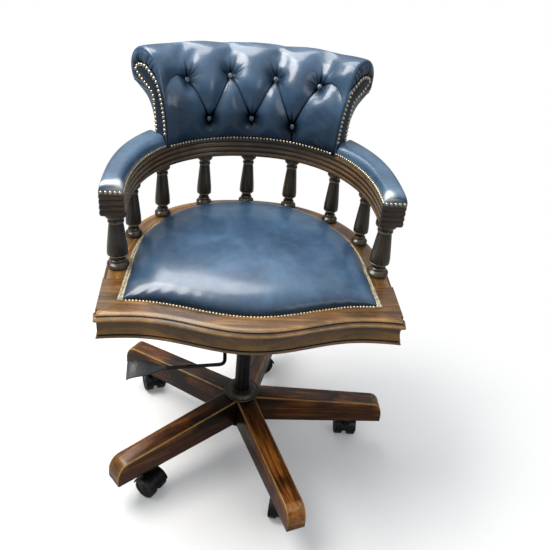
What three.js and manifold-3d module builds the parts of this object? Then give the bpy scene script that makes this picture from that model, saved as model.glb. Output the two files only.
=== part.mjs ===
// A swivel captain's chair. Millimetres, +Z up, standing on Z = 0 and facing -Y.
// Left is -X and right is +X, as seen by someone who stands in front of the chair.

import * as THREE from 'three';
import { mergeVertices } from 'three/addons/utils/BufferGeometryUtils.js';
import Module from 'manifold-3d';

const wasm = await Module();
wasm.setup();

// Whole chair
const seatTop = 495;          // upper face of the wooden seat frame
const swivelX = -20;          // the column stands here, so that the chair's box is centred
const swivelY = -40;
const clearance = 0.3;        // between pieces that touch
const overrun = 2;            // how far a cutting solid passes the face it cuts

// Star base
const legCount = 5;
const firstLegAngle = 0.4;    // degrees from +X
const legReach = 346;
const legNose = 27;           // length of the rounded end
const legHubWidth = 46;
const legTipWidth = 42;
const legHubTop = 151.4;
const legTipTop = 129.5;
const legHubBottom = 77.7;
const legTipBottom = 71;
const legEdgeRadius = 4;

// Column
const tubeRadius = 17.2;
const tubeTop = 300;
const tubeBottom = 75;
const pistonRadius = 11;
const pistonWell = 110;       // floor of the bore that the piston slides in
const sleeveWall = 3.6;
const flangeRadius = 42;
const flangeThickness = 4;
const coverRadius = 42.3;
const coverHeight = 15;
const coverRim = 4;
const rimBevel = 2;

// Casters
const casterRing = 268;       // distance of a caster's stem from the column
const casterTrail = 16;
const wheelRadius = 25;
const wheelWidth = 20;
const wheelGap = 12;          // between the two wheels of a caster
const axleRadius = 3.5;
const stemRadius = 5.5;
const stemLength = 34;
const hoodThickness = 2.6;
const hoodGap = 1.6;          // between the wheels and the hood
const casterHeadings = [85, 205, 109, 325, 78];   // degrees, where each one trails

// Arm line, on which the spindles stand. The seat frame, leather, rail and back follow it.
const armHalfWidth = 276;
const armBack = 313;

// Seat frame
const frameHeight = 58;
const hoopMargin = 22;        // from the arm line to the hoop's outer edge
const hoopBackMargin = 14;
const hoopHalfWidth = armHalfWidth + hoopMargin;
const hoopBack = armBack + hoopBackMargin;
const frontOverhang = 3;      // the front rail is this much wider than the hoop
const frontHalfWidth = hoopHalfWidth + frontOverhang;
const frontSideY = -162;      // front edge beside the bow
const frontBow = 44;
const bowHalfWidth = 230;
const cornerSweep = 5;        // the corners turn forward again by this much
const frontRailDepth = 49;
const hoopJointY = -42;       // front rail and hoop meet here
const horseshoePower = 2.25;  // 2 is an ellipse, more is squarer
const mouldingOut = 5;
const mouldedReturn = 20;     // how far the front moulding returns along each side
const boardThickness = 18;
const boardRaise = 2;         // board above the frame's lower face

// Seat cushion
const leatherMargin = 31;     // from the arm line to the leather's edge
const leatherBackMargin = 29;
const leatherHalfWidth = armHalfWidth - leatherMargin;
const leatherBack = armBack - leatherBackMargin;
const leatherFrontFlare = 8;  // the cushion is this much wider at its front corners
const leatherLap = 6;         // leather lies on the wood by this much
const leatherEdge = 4;
const crown = 38;

// Spindles and arm rail
const spindleHeight = 131;
const spindleRadius = 18.6;
const frontSpindleRadius = 23.4;
const frontSpindleY = 8;
const tenonRadius = 7.5;
const tenonLength = 10;
const railHeight = 48;
const railTop = seatTop + spindleHeight + railHeight;
const railInner = 22;         // from the arm line to the inner face
const railOuter = 28;
const railOuterBack = 36;     // the rail is wider under the back
const outerPower = 2.5;
const railForward = 21;       // past the middle of the arm line's straight end
const railCorner = 5;
const reedCount = 4;
const reedDepth = 3.2;

// Arm pads
const padSide = 9;
const padCrown = 17;
const padInset = 1.5;
const padNose = 14;

// Back
const backTightening = 26.5;  // radius of the cushion's front foot, short of the arm line's mean
const backInner = (armHalfWidth + armBack) / 2 - backTightening;
const backMargin = 30;        // from the arm line to the cushion's front foot, behind
const backCentreY = armBack - backMargin - backInner;   // the back curves about this point
const backFoot = 45;          // thickness at the foot
const backWaist = 2;          // the rear stands this much further out at the foot
const scrollRadius = 49;
const scrollLean = 84;        // the scroll's centre lies this much outside the foot
const scrollOut = backInner + scrollLean;
const scrollRise = 151;       // the scroll's centre above the rail
const scrollZ = railTop + scrollRise;
const scrollEnd = -38;        // degrees, where the scroll ends behind
const coreInset = 20;         // from the cushion's front to the frame inside it
const coreThickness = 12;
const coreRise = 111;         // the frame's top above the rail
const coreTop = railTop + coreRise;
const endTurn = 42;           // degrees that each end is turned from the chair's length
const facingThickness = 4;
const facingInset = 3;        // from the cushion's front to the facing's front edge
const endRound = 6;           // the scroll's ends are rounded by this much
const footRound = 3;          // and the ends below it by this much
const pleatFade = 7;          // the pleats fade out this close to the foot
const upperButtonRise = 136;  // buttons above the rail
const lowerButtonRise = 45;
const upperButtonZ = railTop + upperButtonRise;
const lowerButtonZ = railTop + lowerButtonRise;
const buttonPitch = 18.8;     // degrees between neighbouring buttons
const tuftDepth = 12;
const tuftSpread = 18;
const pleatDepth = 5;
const pleatSpread = 14;
const backCrown = 6;

// Mechanism under the seat
const plateThickness = 4;
const plateHalfWidth = 85;
const plateFront = 90;
const plateRear = 120;
const housingHalfWidth = 38;
const housingFront = 95;
const housingRear = 50;
const housingWall = 3;
const housingDrop = 35;       // depth of the channel's sides
const plateGap = 8;           // between the housing and the seat plate
const bossRadius = 17;
const bossDepth = 28;
const pinRadius = 5;
const pinY = 25;
const pinDrop = 17;           // pin below the housing's top
const pinHeadRadius = 8;
const pinHead = 3;
const earHalfWidth = 20;
const earThickness = 4;
const stopLength = 10;
const stopHalfWidth = 14;
const springY = -70;
const barrelRadius = 17;
const barrelWall = 2;
const barrelDrop = 52;
const coilRadius = 11.5;
const wireRadius = 1.6;
const coilTurns = 5;
const screwRadius = 4;
const knobRadius = 20;
const knobHeight = 16;
const rodRadius = 3.8;
const rodPivotY = -35;
const rodPivotDrop = 22;
const rodOverhang = 8;        // journal past the housing's far side
const rodBendRadius = 12;
const leverBendX = -49;
const leverBendY = -150;
const leverEndX = -166;
const leverEndY = -165;
const leverDrop = 129;        // the paddle below the seat frame's top
const leverZ = seatTop - leverDrop;
const paddleLength = 78;
const paddleSweep = 3;        // how far forward the paddle's end lies
const paddleHalfWidth = 18;
const paddleTilt = 32;        // degrees, front edge down
const paddleThickness = 3;
const paddleCurl = 5;

const wood = (color) => new THREE.MeshStandardMaterial({ color, roughness: 0.35, metalness: 0 });
const legWood = wood(0x6b4020);
const frameWood = wood(0x6f4a2a);
const railWood = wood(0x4a3222);
const spindleWood = wood(0x3a2e26);
const plywood = wood(0xa98558);
const leather = new THREE.MeshStandardMaterial({ color: 0x2c5474, roughness: 0.4, metalness: 0 });
const blackSteel = new THREE.MeshStandardMaterial({ color: 0x1c1c1e, roughness: 0.4, metalness: 0.8 });
const bronze = new THREE.MeshStandardMaterial({ color: 0x4a4640, roughness: 0.4, metalness: 0.7 });
const steel = new THREE.MeshStandardMaterial({ color: 0x8a8c90, roughness: 0.3, metalness: 0.9 });
const blackPlastic = new THREE.MeshStandardMaterial({ color: 0x121214, roughness: 0.35, metalness: 0 });

const chair = new THREE.Group();
chair.name = 'captains_chair';
const onColumn = new THREE.Group();
onColumn.position.set(swivelX, swivelY, 0);
chair.add(onColumn);

const radians = THREE.MathUtils.degToRad;
const lerp = THREE.MathUtils.lerp;
const smooth = THREE.MathUtils.smoothstep;

// Keeps only the corner positions, so that shared corners merge.
function bare(geometry) {
  const plain = geometry.clone();
  plain.deleteAttribute('normal');
  plain.deleteAttribute('uv');
  return mergeVertices(plain);
}

function addPiece(name, geometry, material, parent = onColumn) {
  const shape = bare(geometry);
  shape.computeVertexNormals();
  const mesh = new THREE.Mesh(shape, material);
  mesh.name = name;
  parent.add(mesh);
  return mesh;
}

// Boolean work
function toSolid(geometry) {
  const shape = bare(geometry);
  return new wasm.Manifold(new wasm.Mesh({
    numProp: 3,
    vertProperties: new Float32Array(shape.attributes.position.array),
    triVerts: new Uint32Array(shape.index.array),
  }));
}

function fromSolid(solid) {
  const mesh = solid.getMesh();
  const geometry = new THREE.BufferGeometry();
  geometry.setAttribute('position', new THREE.BufferAttribute(mesh.vertProperties, 3));
  geometry.setIndex(new THREE.BufferAttribute(mesh.triVerts, 1));
  return geometry;
}

function cutFrom(geometry, ...tools) {
  return fromSolid(tools.reduce((body, tool) => body.subtract(toSolid(tool)), toSolid(geometry)));
}

function joined(...pieces) {
  return fromSolid(pieces.map(toSolid).reduce((body, next) => body.add(next)));
}

// A closed body through rings of equally many corners. Each end is capped by its own outline,
// which flatten turns into two coordinates, or closes on a single point.
function skin(rings, flatten) {
  const positions = [];
  const faces = [];
  const starts = rings.map((ring) => {
    const start = positions.length / 3;
    ring.forEach((point) => positions.push(point.x, point.y, point.z));
    return start;
  });
  for (let ring = 0; ring < rings.length - 1; ring += 1) {
    const low = rings[ring];
    const high = rings[ring + 1];
    const count = Math.max(low.length, high.length);
    for (let corner = 0; corner < count; corner += 1) {
      const next = (corner + 1) % count;
      const a = starts[ring] + (low.length > 1 ? corner : 0);
      const b = starts[ring] + (low.length > 1 ? next : 0);
      const c = starts[ring + 1] + (high.length > 1 ? next : 0);
      const d = starts[ring + 1] + (high.length > 1 ? corner : 0);
      if (a !== b) faces.push([a, b, c]);
      if (c !== d) faces.push([a, c, d]);
    }
  }
  [0, rings.length - 1].forEach((end) => {
    const ring = rings[end];
    if (ring.length < 3) return;
    const outline = ring.map(flatten);
    THREE.ShapeUtils.triangulateShape(outline, []).forEach(([a, b, c]) => {
      const face = [starts[end] + a, starts[end] + b, starts[end] + c];
      const outlineTurns = THREE.ShapeUtils.isClockWise([outline[a], outline[b], outline[c]])
        === THREE.ShapeUtils.isClockWise(outline);
      if (outlineTurns === (end > 0)) faces.push(face);
      else faces.push(face.reverse());
    });
  });
  const geometry = new THREE.BufferGeometry();
  geometry.setAttribute('position', new THREE.Float32BufferAttribute(positions, 3));
  geometry.setIndex(faces.flat());
  return facingOut(geometry);
}

// Turns a closed body inside out if its faces point inwards.
function facingOut(geometry) {
  const index = geometry.index.array;
  const place = geometry.attributes.position;
  const corner = [new THREE.Vector3(), new THREE.Vector3(), new THREE.Vector3()];
  let volume = 0;
  for (let face = 0; face < index.length; face += 3) {
    corner.forEach((point, side) => point.fromBufferAttribute(place, index[face + side]));
    volume += corner[0].dot(corner[1].clone().cross(corner[2]));
  }
  if (volume < 0) {
    for (let face = 0; face < index.length; face += 3) {
      [index[face], index[face + 1]] = [index[face + 1], index[face]];
    }
  }
  return geometry;
}

const point = (x, y, z) => new THREE.Vector3(x, y, z);
const fromAbove = (corner) => new THREE.Vector2(corner.x, corner.y);

// A turned piece: profile points are [radius, height], upright on Z.
function turned(profile, segments) {
  const lathe = new THREE.LatheGeometry(profile.map(([r, z]) => new THREE.Vector2(r, z)), segments);
  return facingOut(bare(lathe.rotateX(Math.PI / 2)));
}

function rod(radius, length, segments) {
  return new THREE.CylinderGeometry(radius, radius, length, segments).rotateX(Math.PI / 2);
}

// Radius of a round hole whose flats clear a round of the given radius.
function holeRadius(radius, segments) {
  return (radius + clearance) / Math.cos(Math.PI / segments);
}

// Flats that stand for a round
const roundSides = 20;
const smallSides = 12;
const axleSides = 8;

// Star base
const legBottomAt = (radius) => lerp(legHubBottom, legTipBottom, radius / legReach);
const sleeveRadius = tubeRadius + clearance + sleeveWall;

function legSection(radius, top) {
  const half = lerp(legHubWidth, legTipWidth, radius / legReach) / 2;
  const bottom = legBottomAt(radius);
  const edge = legEdgeRadius;
  const bevel = edge * (1 - Math.SQRT1_2);
  return [
    [-half + bevel, bottom], [half - bevel, bottom], [half, bottom + bevel],
    [half, top - edge], [half - bevel, top - bevel], [half - edge, top],
    [-half + edge, top], [-half + bevel, top - bevel], [-half, top - edge], [-half, bottom + bevel],
  ].map(([y, z]) => point(radius, y, z));
}

function legShape() {
  const noseStart = legReach - legNose;
  const noseMiddle = lerp(legTipBottom, legTipTop, noseShare);
  const rings = [legSection(sleeveRadius / 2, legHubTop), legSection(coverRadius, legHubTop),
    legSection(noseStart, legTipTop)];
  for (let step = 1; step <= noseSteps; step += 1) {
    const turn = (step / noseSteps) * (Math.PI / 2);
    rings.push(legSection(noseStart + legNose * Math.sin(turn), lerp(noseMiddle, legTipTop, Math.cos(turn))));
  }
  return skin(rings, (corner) => new THREE.Vector2(corner.y, corner.z));
}
const noseShare = 0.36;       // height of the nose's flat end, as a share of the leg's end
const noseSteps = 5;

// The wedge of the circle that belongs to one leg, so that the legs meet round the sleeve.
function legWedge() {
  const half = Math.PI / legCount;
  const reach = legReach * 2;
  const back = clearance / 2 / Math.sin(half);
  const outline = new THREE.Shape([
    new THREE.Vector2(back, 0),
    new THREE.Vector2(back + reach * Math.cos(half), -reach * Math.sin(half)),
    new THREE.Vector2(back + reach * Math.cos(half), reach * Math.sin(half)),
  ]);
  return new THREE.ExtrudeGeometry(outline, { depth: legHubTop * 2, bevelEnabled: false });
}

function makeLegs() {
  const core = rod(holeRadius(sleeveRadius, roundSides), legHubTop * 4, roundSides);
  const socketDepth = stemLength + clearance + overrun;
  const socketTop = legBottomAt(casterRing) + stemLength + clearance;
  const socket = rod(holeRadius(stemRadius, smallSides), socketDepth, smallSides)
    .translate(casterRing, 0, socketTop - socketDepth / 2);
  const blank = toSolid(legShape()).intersect(toSolid(legWedge()));
  const leg = fromSolid(blank.subtract(toSolid(core)).subtract(toSolid(socket)));
  for (let number = 0; number < legCount; number += 1) {
    const mesh = addPiece(`leg_${number + 1}`, leg, legWood);
    mesh.rotation.z = radians(firstLegAngle + (360 / legCount) * number);
  }
}

const domeShare = 0.45;       // where the cover's dome breaks, from the sleeve to the rim

function makeColumn() {
  const bore = tubeRadius + clearance;
  const sleeveTop = legHubTop + coverHeight / 2;
  const flangeTop = legBottomAt(flangeRadius) - clearance;
  const flangeBottom = flangeTop - flangeThickness;
  addPiece('hub_sleeve', turned([
    [bore, flangeBottom], [flangeRadius, flangeBottom], [flangeRadius, flangeTop],
    [sleeveRadius, flangeTop], [sleeveRadius, sleeveTop], [bore, sleeveTop], [bore, flangeBottom],
  ], roundSides), blackSteel);

  const coverBottom = legHubTop + clearance;
  const coverTop = coverBottom + coverHeight;
  const rimTop = coverBottom + coverRim;
  const ledge = sleeveTop + clearance;
  const sleeveHole = holeRadius(sleeveRadius, roundSides);
  addPiece('hub_cover', turned([
    [sleeveHole, coverBottom], [coverRadius - rimBevel, coverBottom], [coverRadius, coverBottom + coverRim / 2],
    [coverRadius - rimBevel, rimTop], [coverRadius - coverRim - rimBevel, rimTop],
    [lerp(sleeveRadius, coverRadius, domeShare), coverTop - rimBevel], [bore, coverTop],
    [bore, ledge], [sleeveHole, ledge], [sleeveHole, coverBottom],
  ], roundSides), bronze);

  const well = pistonRadius + clearance * 2;
  addPiece('column_tube', turned([
    [0, tubeBottom], [tubeRadius, tubeBottom], [tubeRadius, tubeTop - clearance * 4],
    [tubeRadius - clearance * 4, tubeTop], [well, tubeTop], [well, pistonWell], [0, pistonWell],
  ], roundSides), blackSteel);

  addPiece('gas_piston', turned([
    [0, pistonWell + clearance], [pistonRadius, pistonWell + clearance],
    [pistonRadius, pistonTop], [0, pistonTop],
  ], roundSides), steel);
}

// Casters
const hoodAngles = [18, 172]; // degrees from the trail, between which the hood covers the wheels
const hoodSteps = 7;

// Lays a shape that was drawn across the wheels over the caster's trailing axle.
const onAxle = (geometry) => geometry.rotateX(Math.PI / 2).translate(casterTrail, 0, wheelRadius);

function extruded(outline, depth, curveSegments = 1) {
  return new THREE.ExtrudeGeometry(outline, { depth, bevelEnabled: false, curveSegments });
}

function casterHood() {
  const reach = wheelRadius + hoodGap;
  const width = wheelWidth * 2 + wheelGap;
  const shell = new THREE.Shape();
  const [from, to] = hoodAngles.map(radians);
  shell.absarc(0, 0, reach + hoodThickness, from, to, false);
  shell.absarc(0, 0, reach, to, from, true);
  const hood = extruded(shell, width, hoodSteps).translate(0, 0, -width / 2);
  const web = new THREE.Shape();
  const webWidth = wheelGap - clearance * 4;
  web.moveTo(-wheelRadius / 2, -wheelRadius / 3);
  web.lineTo(wheelRadius / 2, -wheelRadius / 3);
  web.absarc(0, 0, reach + hoodThickness / 2, from, to, false);
  const plate = extruded(web, webWidth, hoodSteps).translate(0, 0, -webWidth / 2);
  const arch = onAxle(joined(hood, plate, rod(axleRadius, width, axleSides)));
  const stemTop = legBottomAt(casterRing) + stemLength;
  const stemFoot = wheelRadius * 2 - hoodThickness * 2;
  const collarTop = legBottomAt(casterRing) - clearance;
  const collar = stemRadius * 2;
  const stem = turned([
    [0, stemFoot], [collar, stemFoot], [collar, collarTop], [stemRadius, collarTop],
    [stemRadius, stemTop], [0, stemTop],
  ], smallSides);
  const room = [1, -1].map((side) => onAxle(
    rod(reach, wheelWidth + clearance * 2, smallSides).translate(0, 0, (side * (wheelGap + wheelWidth)) / 2)));
  return joined(arch, cutFrom(stem, ...room));
}

function wheelShape() {
  const bore = holeRadius(axleRadius, axleSides);
  const half = wheelWidth / 2;
  const shoulder = wheelRadius * tyreShare;
  const dish = wheelWidth * dishShare;
  return turned([
    [bore, -half], [shoulder, -half], [wheelRadius, -half + wheelRadius - shoulder],
    [wheelRadius, half - (wheelRadius - shoulder)], [shoulder, half],
    [shoulder * tyreShare, half - dish], [bore, half - dish], [bore, -half],
  ], smallSides).rotateX(Math.PI / 2);
}
const tyreShare = 0.88;
const dishShare = 0.12;

function makeCasters() {
  const hood = casterHood();
  const wheel = wheelShape();
  for (let number = 0; number < legCount; number += 1) {
    const angle = radians(firstLegAngle + (360 / legCount) * number);
    const caster = new THREE.Group();
    caster.position.set(casterRing * Math.cos(angle), casterRing * Math.sin(angle), 0);
    caster.rotation.z = radians(casterHeadings[number]);
    onColumn.add(caster);
    addPiece(`caster_${number + 1}_hood`, hood, blackSteel, caster);
    const wheelOffset = (wheelGap + wheelWidth) / 2;
    [['a', 1], ['b', -1]].forEach(([letter, side]) => {
      const mesh = addPiece(`caster_${number + 1}_wheel_${letter}`, wheel, blackPlastic, caster);
      mesh.position.set(casterTrail, side * wheelOffset, wheelRadius);
      mesh.rotation.z = side > 0 ? Math.PI : 0;
    });
  }
}

// Plan curves. A horseshoe is half of a squared ellipse that opens to the front.
const horseshoes = {
  spindles: { half: armHalfWidth, back: armBack, power: horseshoePower },
  railInside: { half: armHalfWidth - railInner, back: armBack - railInner, power: horseshoePower },
  railOutside: { half: armHalfWidth + railOuter, back: armBack + railOuterBack, power: outerPower },
  hoopOutside: { half: hoopHalfWidth, back: hoopBack, power: horseshoePower },
  opening: { half: leatherHalfWidth - leatherLap, back: leatherBack - leatherLap, power: horseshoePower },
};

// Point of a horseshoe's right half: turn 0 is its front end, turn 90 the middle of its back.
function horseshoePoint({ half, back, power }, turn) {
  return new THREE.Vector2(
    half * Math.abs(Math.cos(radians(turn))) ** (2 / power),
    back * Math.abs(Math.sin(radians(turn))) ** (2 / power),
  );
}

// Right half of a horseshoe as evenly spaced points, from a given y at the front to the back.
function rightHalf(shape, frontY, count) {
  const fine = [new THREE.Vector2(shape.half, frontY)];
  for (let turn = 0; turn <= 90; turn += 0.5) {
    const next = horseshoePoint(shape, turn);
    if (next.y > frontY) fine.push(next);
  }
  const length = [0];
  for (let i = 1; i < fine.length; i += 1) length.push(length[i - 1] + fine[i].distanceTo(fine[i - 1]));
  const total = length[length.length - 1];
  return Array.from({ length: count }, (_, i) => {
    const wanted = (total * i) / (count - 1);
    const after = Math.max(1, length.findIndex((value) => value >= wanted - total * 1e-9));
    const share = (wanted - length[after - 1]) / (length[after] - length[after - 1]);
    return fine[after - 1].clone().lerp(fine[after], share);
  });
}

const mirror = (points) => points.map(({ x, y }) => new THREE.Vector2(-x, y)).reverse();

// Moves each corner of a closed outline outwards by its own distance.
function grown(outline, distances) {
  const turn = THREE.ShapeUtils.isClockWise(outline) ? -1 : 1;
  return outline.map((corner, i) => {
    const before = outline[(i + outline.length - 1) % outline.length];
    const after = outline[(i + 1) % outline.length];
    const one = corner.clone().sub(before).normalize();
    const two = after.clone().sub(corner).normalize();
    const out = new THREE.Vector2(one.y + two.y, -(one.x + two.x)).normalize().multiplyScalar(turn);
    const mitre = 1 / Math.max(Math.SQRT1_2, out.dot(new THREE.Vector2(one.y, -one.x).multiplyScalar(turn)));
    return corner.clone().addScaledVector(out, distances[i] * mitre);
  });
}

// A body whose plan outline swells and shrinks with height: levels are [height, distance out].
// A corner's own weight says how much of the distance it takes.
function moulded(outline, weights, levels) {
  const rings = levels.map(([z, out]) => grown(outline, weights.map((weight) => weight * out))
    .map((corner) => point(corner.x, corner.y, z)));
  return skin(rings, fromAbove);
}

// Seat frame
const frameBottom = seatTop - frameHeight;
// Share of the frame's height below its top, and share of the moulding's projection.
const mouldingShares = [
  [0, -1.8], [0.05, -0.4], [0.085, -0.6], [0.11, 0.3], [0.18, 1], [0.25, 0.9],
  [0.31, -0.2], [0.42, -0.9], [0.83, -0.4], [0.86, -1], [0.89, -0.2], [1, -0.3],
];
const mouldingLevels = mouldingShares.map(([down, out]) => [seatTop - down * frameHeight, out * mouldingOut]);

function frontEdgeY(x) {
  const away = Math.abs(x);
  if (away < bowHalfWidth) return frontSideY - frontBow * Math.cos((Math.PI / 2) * (away / bowHalfWidth)) ** 2;
  return frontSideY - cornerSweep * ((away - bowHalfWidth) / (frontHalfWidth - bowHalfWidth)) ** 2;
}

const acrossFront = (half, count, setback) => Array.from({ length: count }, (_, i) => {
  const x = half - (2 * half * i) / (count - 1);
  return new THREE.Vector2(x, frontEdgeY(x) + setback);
});

const leatherFrontY = frontSideY + frontRailDepth;
const openingSteps = 14;
const bowSteps = 21;
const horseshoeSteps = 15;

// The opening in the frame, drawn in by a distance: the board and the cushion's foot fill it.
function openingOutline(inset) {
  const side = rightHalf(horseshoes.opening, 0, openingSteps);
  const half = leatherHalfWidth + leatherFrontFlare - leatherLap;
  const front = acrossFront(half, openingSteps, frontRailDepth + leatherLap);
  const outline = [...side, ...mirror(side).slice(1), ...front.reverse()];
  return grown(outline, outline.map(() => -inset));
}

function openingBody(inset, bottom, top) {
  const outline = openingOutline(inset);
  return skin([bottom, top].map((z) => outline.map(({ x, y }) => point(x, y, z))), fromAbove);
}

// Outlines of the two frame pieces, without the opening, and how much moulding each corner takes.
function frontRailBlank() {
  const jointY = hoopJointY - clearance / 2;
  const front = acrossFront(frontHalfWidth, bowSteps, 0);
  const returnEnd = front[0].y + mouldedReturn;
  const plainEnd = [jointY, returnEnd + clearance].map((y) => new THREE.Vector2(frontHalfWidth, y));
  const right = [...plainEnd, new THREE.Vector2(frontHalfWidth, returnEnd)];
  const outline = [...right, ...front, ...mirror(right)];
  const weights = outline.map(({ y }) => (y > returnEnd ? 0 : 1));
  return moulded(outline, weights, mouldingLevels);
}

function hoopBlank() {
  const outside = rightHalf(horseshoes.hoopOutside, hoopJointY - mouldingOut * 2, horseshoeSteps);
  const outline = [...outside, ...mirror(outside).slice(1)];
  return moulded(outline, outline.map(() => 1), mouldingLevels);
}

// Where the spindles stand, as shares of the arm line from a front spindle to the middle of the back.
const spindlePlaceShares = [0, 0.278, 0.524, 0.773, 1];
const armLineSteps = 400;
const socketSegments = 10;
const spindleSides = 10;

function spindlePlaces() {
  const line = rightHalf(horseshoes.spindles, frontSpindleY, armLineSteps + 1);
  const half = spindlePlaceShares.map((share) => line[Math.round(share * armLineSteps)]);
  return [...half, ...mirror(half).slice(1)];
}

// A cutter for the hole that a tenon fills, from a face at this height both ways.
function tenonSocket(place, z) {
  const depth = (tenonLength + clearance) * 2;
  return rod(holeRadius(tenonRadius, socketSegments), depth, socketSegments).translate(place.x, place.y, z);
}

function makeSeatFrame() {
  const sockets = spindlePlaces().map((place) => tenonSocket(place, seatTop));
  const opening = openingBody(0, frameBottom - overrun, seatTop + overrun);
  addPiece('seat_front_rail', cutFrom(frontRailBlank(), opening), frameWood);
  const depth = frontHalfWidth;
  const beyondJoint = new THREE.BoxGeometry(frontHalfWidth * 3, depth, frameHeight * 2)
    .translate(0, hoopJointY + clearance / 2 - depth / 2, seatTop - frameHeight / 2);
  addPiece('seat_hoop', cutFrom(hoopBlank(), opening, beyondJoint, ...sockets), frameWood);
}

function makeSeatBoard() {
  const bottom = frameBottom + boardRaise;
  addPiece('seat_board', openingBody(clearance * 2, bottom, bottom + boardThickness), plywood);
}

// Seat cushion: a foot inside the opening, a lip on the wood and a crowned top.
const crownShares = [0.985, 0.95, 0.89, 0.8, 0.68, 0.52, 0.33, 0.15];
const crownAt = (share) => crown * (1 - share ** crownPower) ** edgePower;
const crownPower = 2.4;       // more makes the top flatter
const edgePower = 0.62;       // less makes the edge steeper

function makeSeatCushion() {
  const plug = openingOutline(clearance * 3);
  const lip = openingOutline(-leatherLap);
  const boardTop = frameBottom + boardRaise + boardThickness;
  const lipZ = seatTop + clearance;
  const middle = new THREE.Vector2(0, (leatherBack + leatherFrontY) / 2 - frontBow / 2);
  const edgeZ = lipZ + leatherEdge;
  const level = (outline, z) => outline.map(({ x, y }) => point(x, y, z));
  const rings = [level(plug, boardTop + clearance), level(plug, lipZ), level(lip, lipZ), level(lip, edgeZ)];
  crownShares.forEach((share) => {
    rings.push(level(lip.map((corner) => middle.clone().lerp(corner, share)), edgeZ + crownAt(share)));
  });
  rings.push([point(middle.x, middle.y, edgeZ + crownAt(0))]);
  addPiece('seat_cushion', skin(rings, fromAbove), leather);
}

// Spindles: height as a share of the turned length, radius as a share of the widest.
const spindleShares = [
  [0, 0.98], [0.06, 0.97], [0.1, 0.66], [0.13, 0.68], [0.16, 0.56],
  [0.25, 0.93], [0.32, 0.91], [0.8, 0.62], [0.82, 0.7], [0.85, 0.7], [0.865, 0.63],
  [0.92, 0.93], [1, 0.95],
];

function spindleShape(radius) {
  const foot = clearance;
  const top = spindleHeight - clearance;
  return turned([
    [0, -tenonLength], [tenonRadius, -tenonLength], [tenonRadius, foot],
    ...spindleShares.map(([up, out]) => [radius * out, lerp(foot, top, up)]),
    [tenonRadius, top], [tenonRadius, spindleHeight + tenonLength], [0, spindleHeight + tenonLength],
  ], spindleSides);
}

function makeSpindles() {
  const plain = spindleShape(spindleRadius);
  const stout = spindleShape(frontSpindleRadius);
  const places = spindlePlaces();
  places.forEach((place, i) => {
    const atFront = i === 0 || i === places.length - 1;
    const mesh = addPiece(`spindle_${i + 1}`, atFront ? stout : plain, spindleWood);
    mesh.position.set(place.x, place.y, seatTop);
  });
}

// Arm rail: the horseshoe outline with reeds that run round both arm ends.
const railBottom = railTop - railHeight;
// Within one reed: share of its height, and share of the reed's depth that is cut away there.
const reedShares = [[0, 1], [0.28, 0.12], [0.72, 0.12]];

function railOutline() {
  const frontY = -railForward;
  const inside = rightHalf(horseshoes.railInside, frontY + railCorner, horseshoeSteps);
  const outside = rightHalf(horseshoes.railOutside, frontY + railCorner, horseshoeSteps);
  const bevel = railCorner * (1 - Math.SQRT1_2);
  const end = [
    new THREE.Vector2(inside[0].x + bevel, frontY + bevel),
    new THREE.Vector2(inside[0].x + railCorner, frontY),
    new THREE.Vector2(outside[0].x - railCorner, frontY),
    new THREE.Vector2(outside[0].x - bevel, frontY + bevel),
  ];
  const right = [...inside.reverse(), ...end, ...outside];
  return [...right, ...mirror(right).slice(1, -1)];
}

function makeArmRail() {
  const outline = railOutline();
  const reed = railHeight / reedCount;
  const levels = [];
  for (let number = 0; number < reedCount; number += 1) {
    reedShares.forEach(([up, cut]) => levels.push([railBottom + reed * (number + up), -reedDepth * cut]));
  }
  levels.push([railTop, -reedDepth * reedShares[1][1]]);
  const blank = moulded(outline, outline.map(() => 1), levels);
  const sockets = spindlePlaces().map((place) => tenonSocket(place, railBottom));
  addPiece('arm_rail', cutFrom(blank, ...sockets), railWood);
}

// Back. Its ends are flat and upright: this is the bearing, in degrees, at which a radius meets an end
// that has been drawn in by a distance.
const foot = railTop + clearance;
const backTop = scrollZ + scrollRadius;

function endBearing(radius, drawn) {
  const towardsEnd = backCentreY * Math.sin(radians(endTurn)) - drawn;
  return endTurn + THREE.MathUtils.radToDeg(Math.asin(towardsEnd / radius));
}

const scrollFront = scrollOut - scrollRadius;
const riseShare = (z) => (z - foot) / (scrollZ - foot);
const leanPower = 2.5;        // the front face stays upright and then leans back into the scroll
const frontAt = (z) => lerp(backInner, scrollFront, Math.max(0, riseShare(z)) ** leanPower);
const frontRows = 11;
const scrollRows = 10;
const cushionSteps = 34;
const panelSteps = 17;

// Section of the front cushion, as [radius, height]: front face and scroll, then the inside
// that wraps the frame.
function cushionSection() {
  const section = [];
  for (let row = 0; row < frontRows; row += 1) {
    const z = lerp(foot, scrollZ, row / frontRows);
    section.push([frontAt(z), z]);
  }
  for (let row = 0; row <= scrollRows; row += 1) {
    const turn = radians(lerp(180, scrollEnd, row / scrollRows));
    section.push([scrollOut + scrollRadius * Math.cos(turn), scrollZ + scrollRadius * Math.sin(turn)]);
  }
  const soft = section.length;
  const coreBack = frontAt(coreTop) + coreInset + coreThickness;
  section.push([coreBack + clearance, coreTop + clearance]);
  coreLine(-clearance).reverse().forEach(([radius, z]) => section.push([radius, z]));
  section[soft + 1][1] += clearance;
  return { section, soft };
}

// Front of the frame inside the back, from the foot up, moved forward or back by a distance.
const coreRows = 3;
function coreLine(by) {
  return Array.from({ length: coreRows + 1 }, (_, row) => {
    const z = lerp(foot, coreTop, row / coreRows);
    return [frontAt(z) + coreInset + by, z];
  });
}

// Rear face: share of the height up to the scroll's rear end, and share of the way out to it.
const rearShares = [[0.8, 0.36], [0.62, 0.17], [0.42, 0.06], [0.2, 0], [0, 0]];

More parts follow.
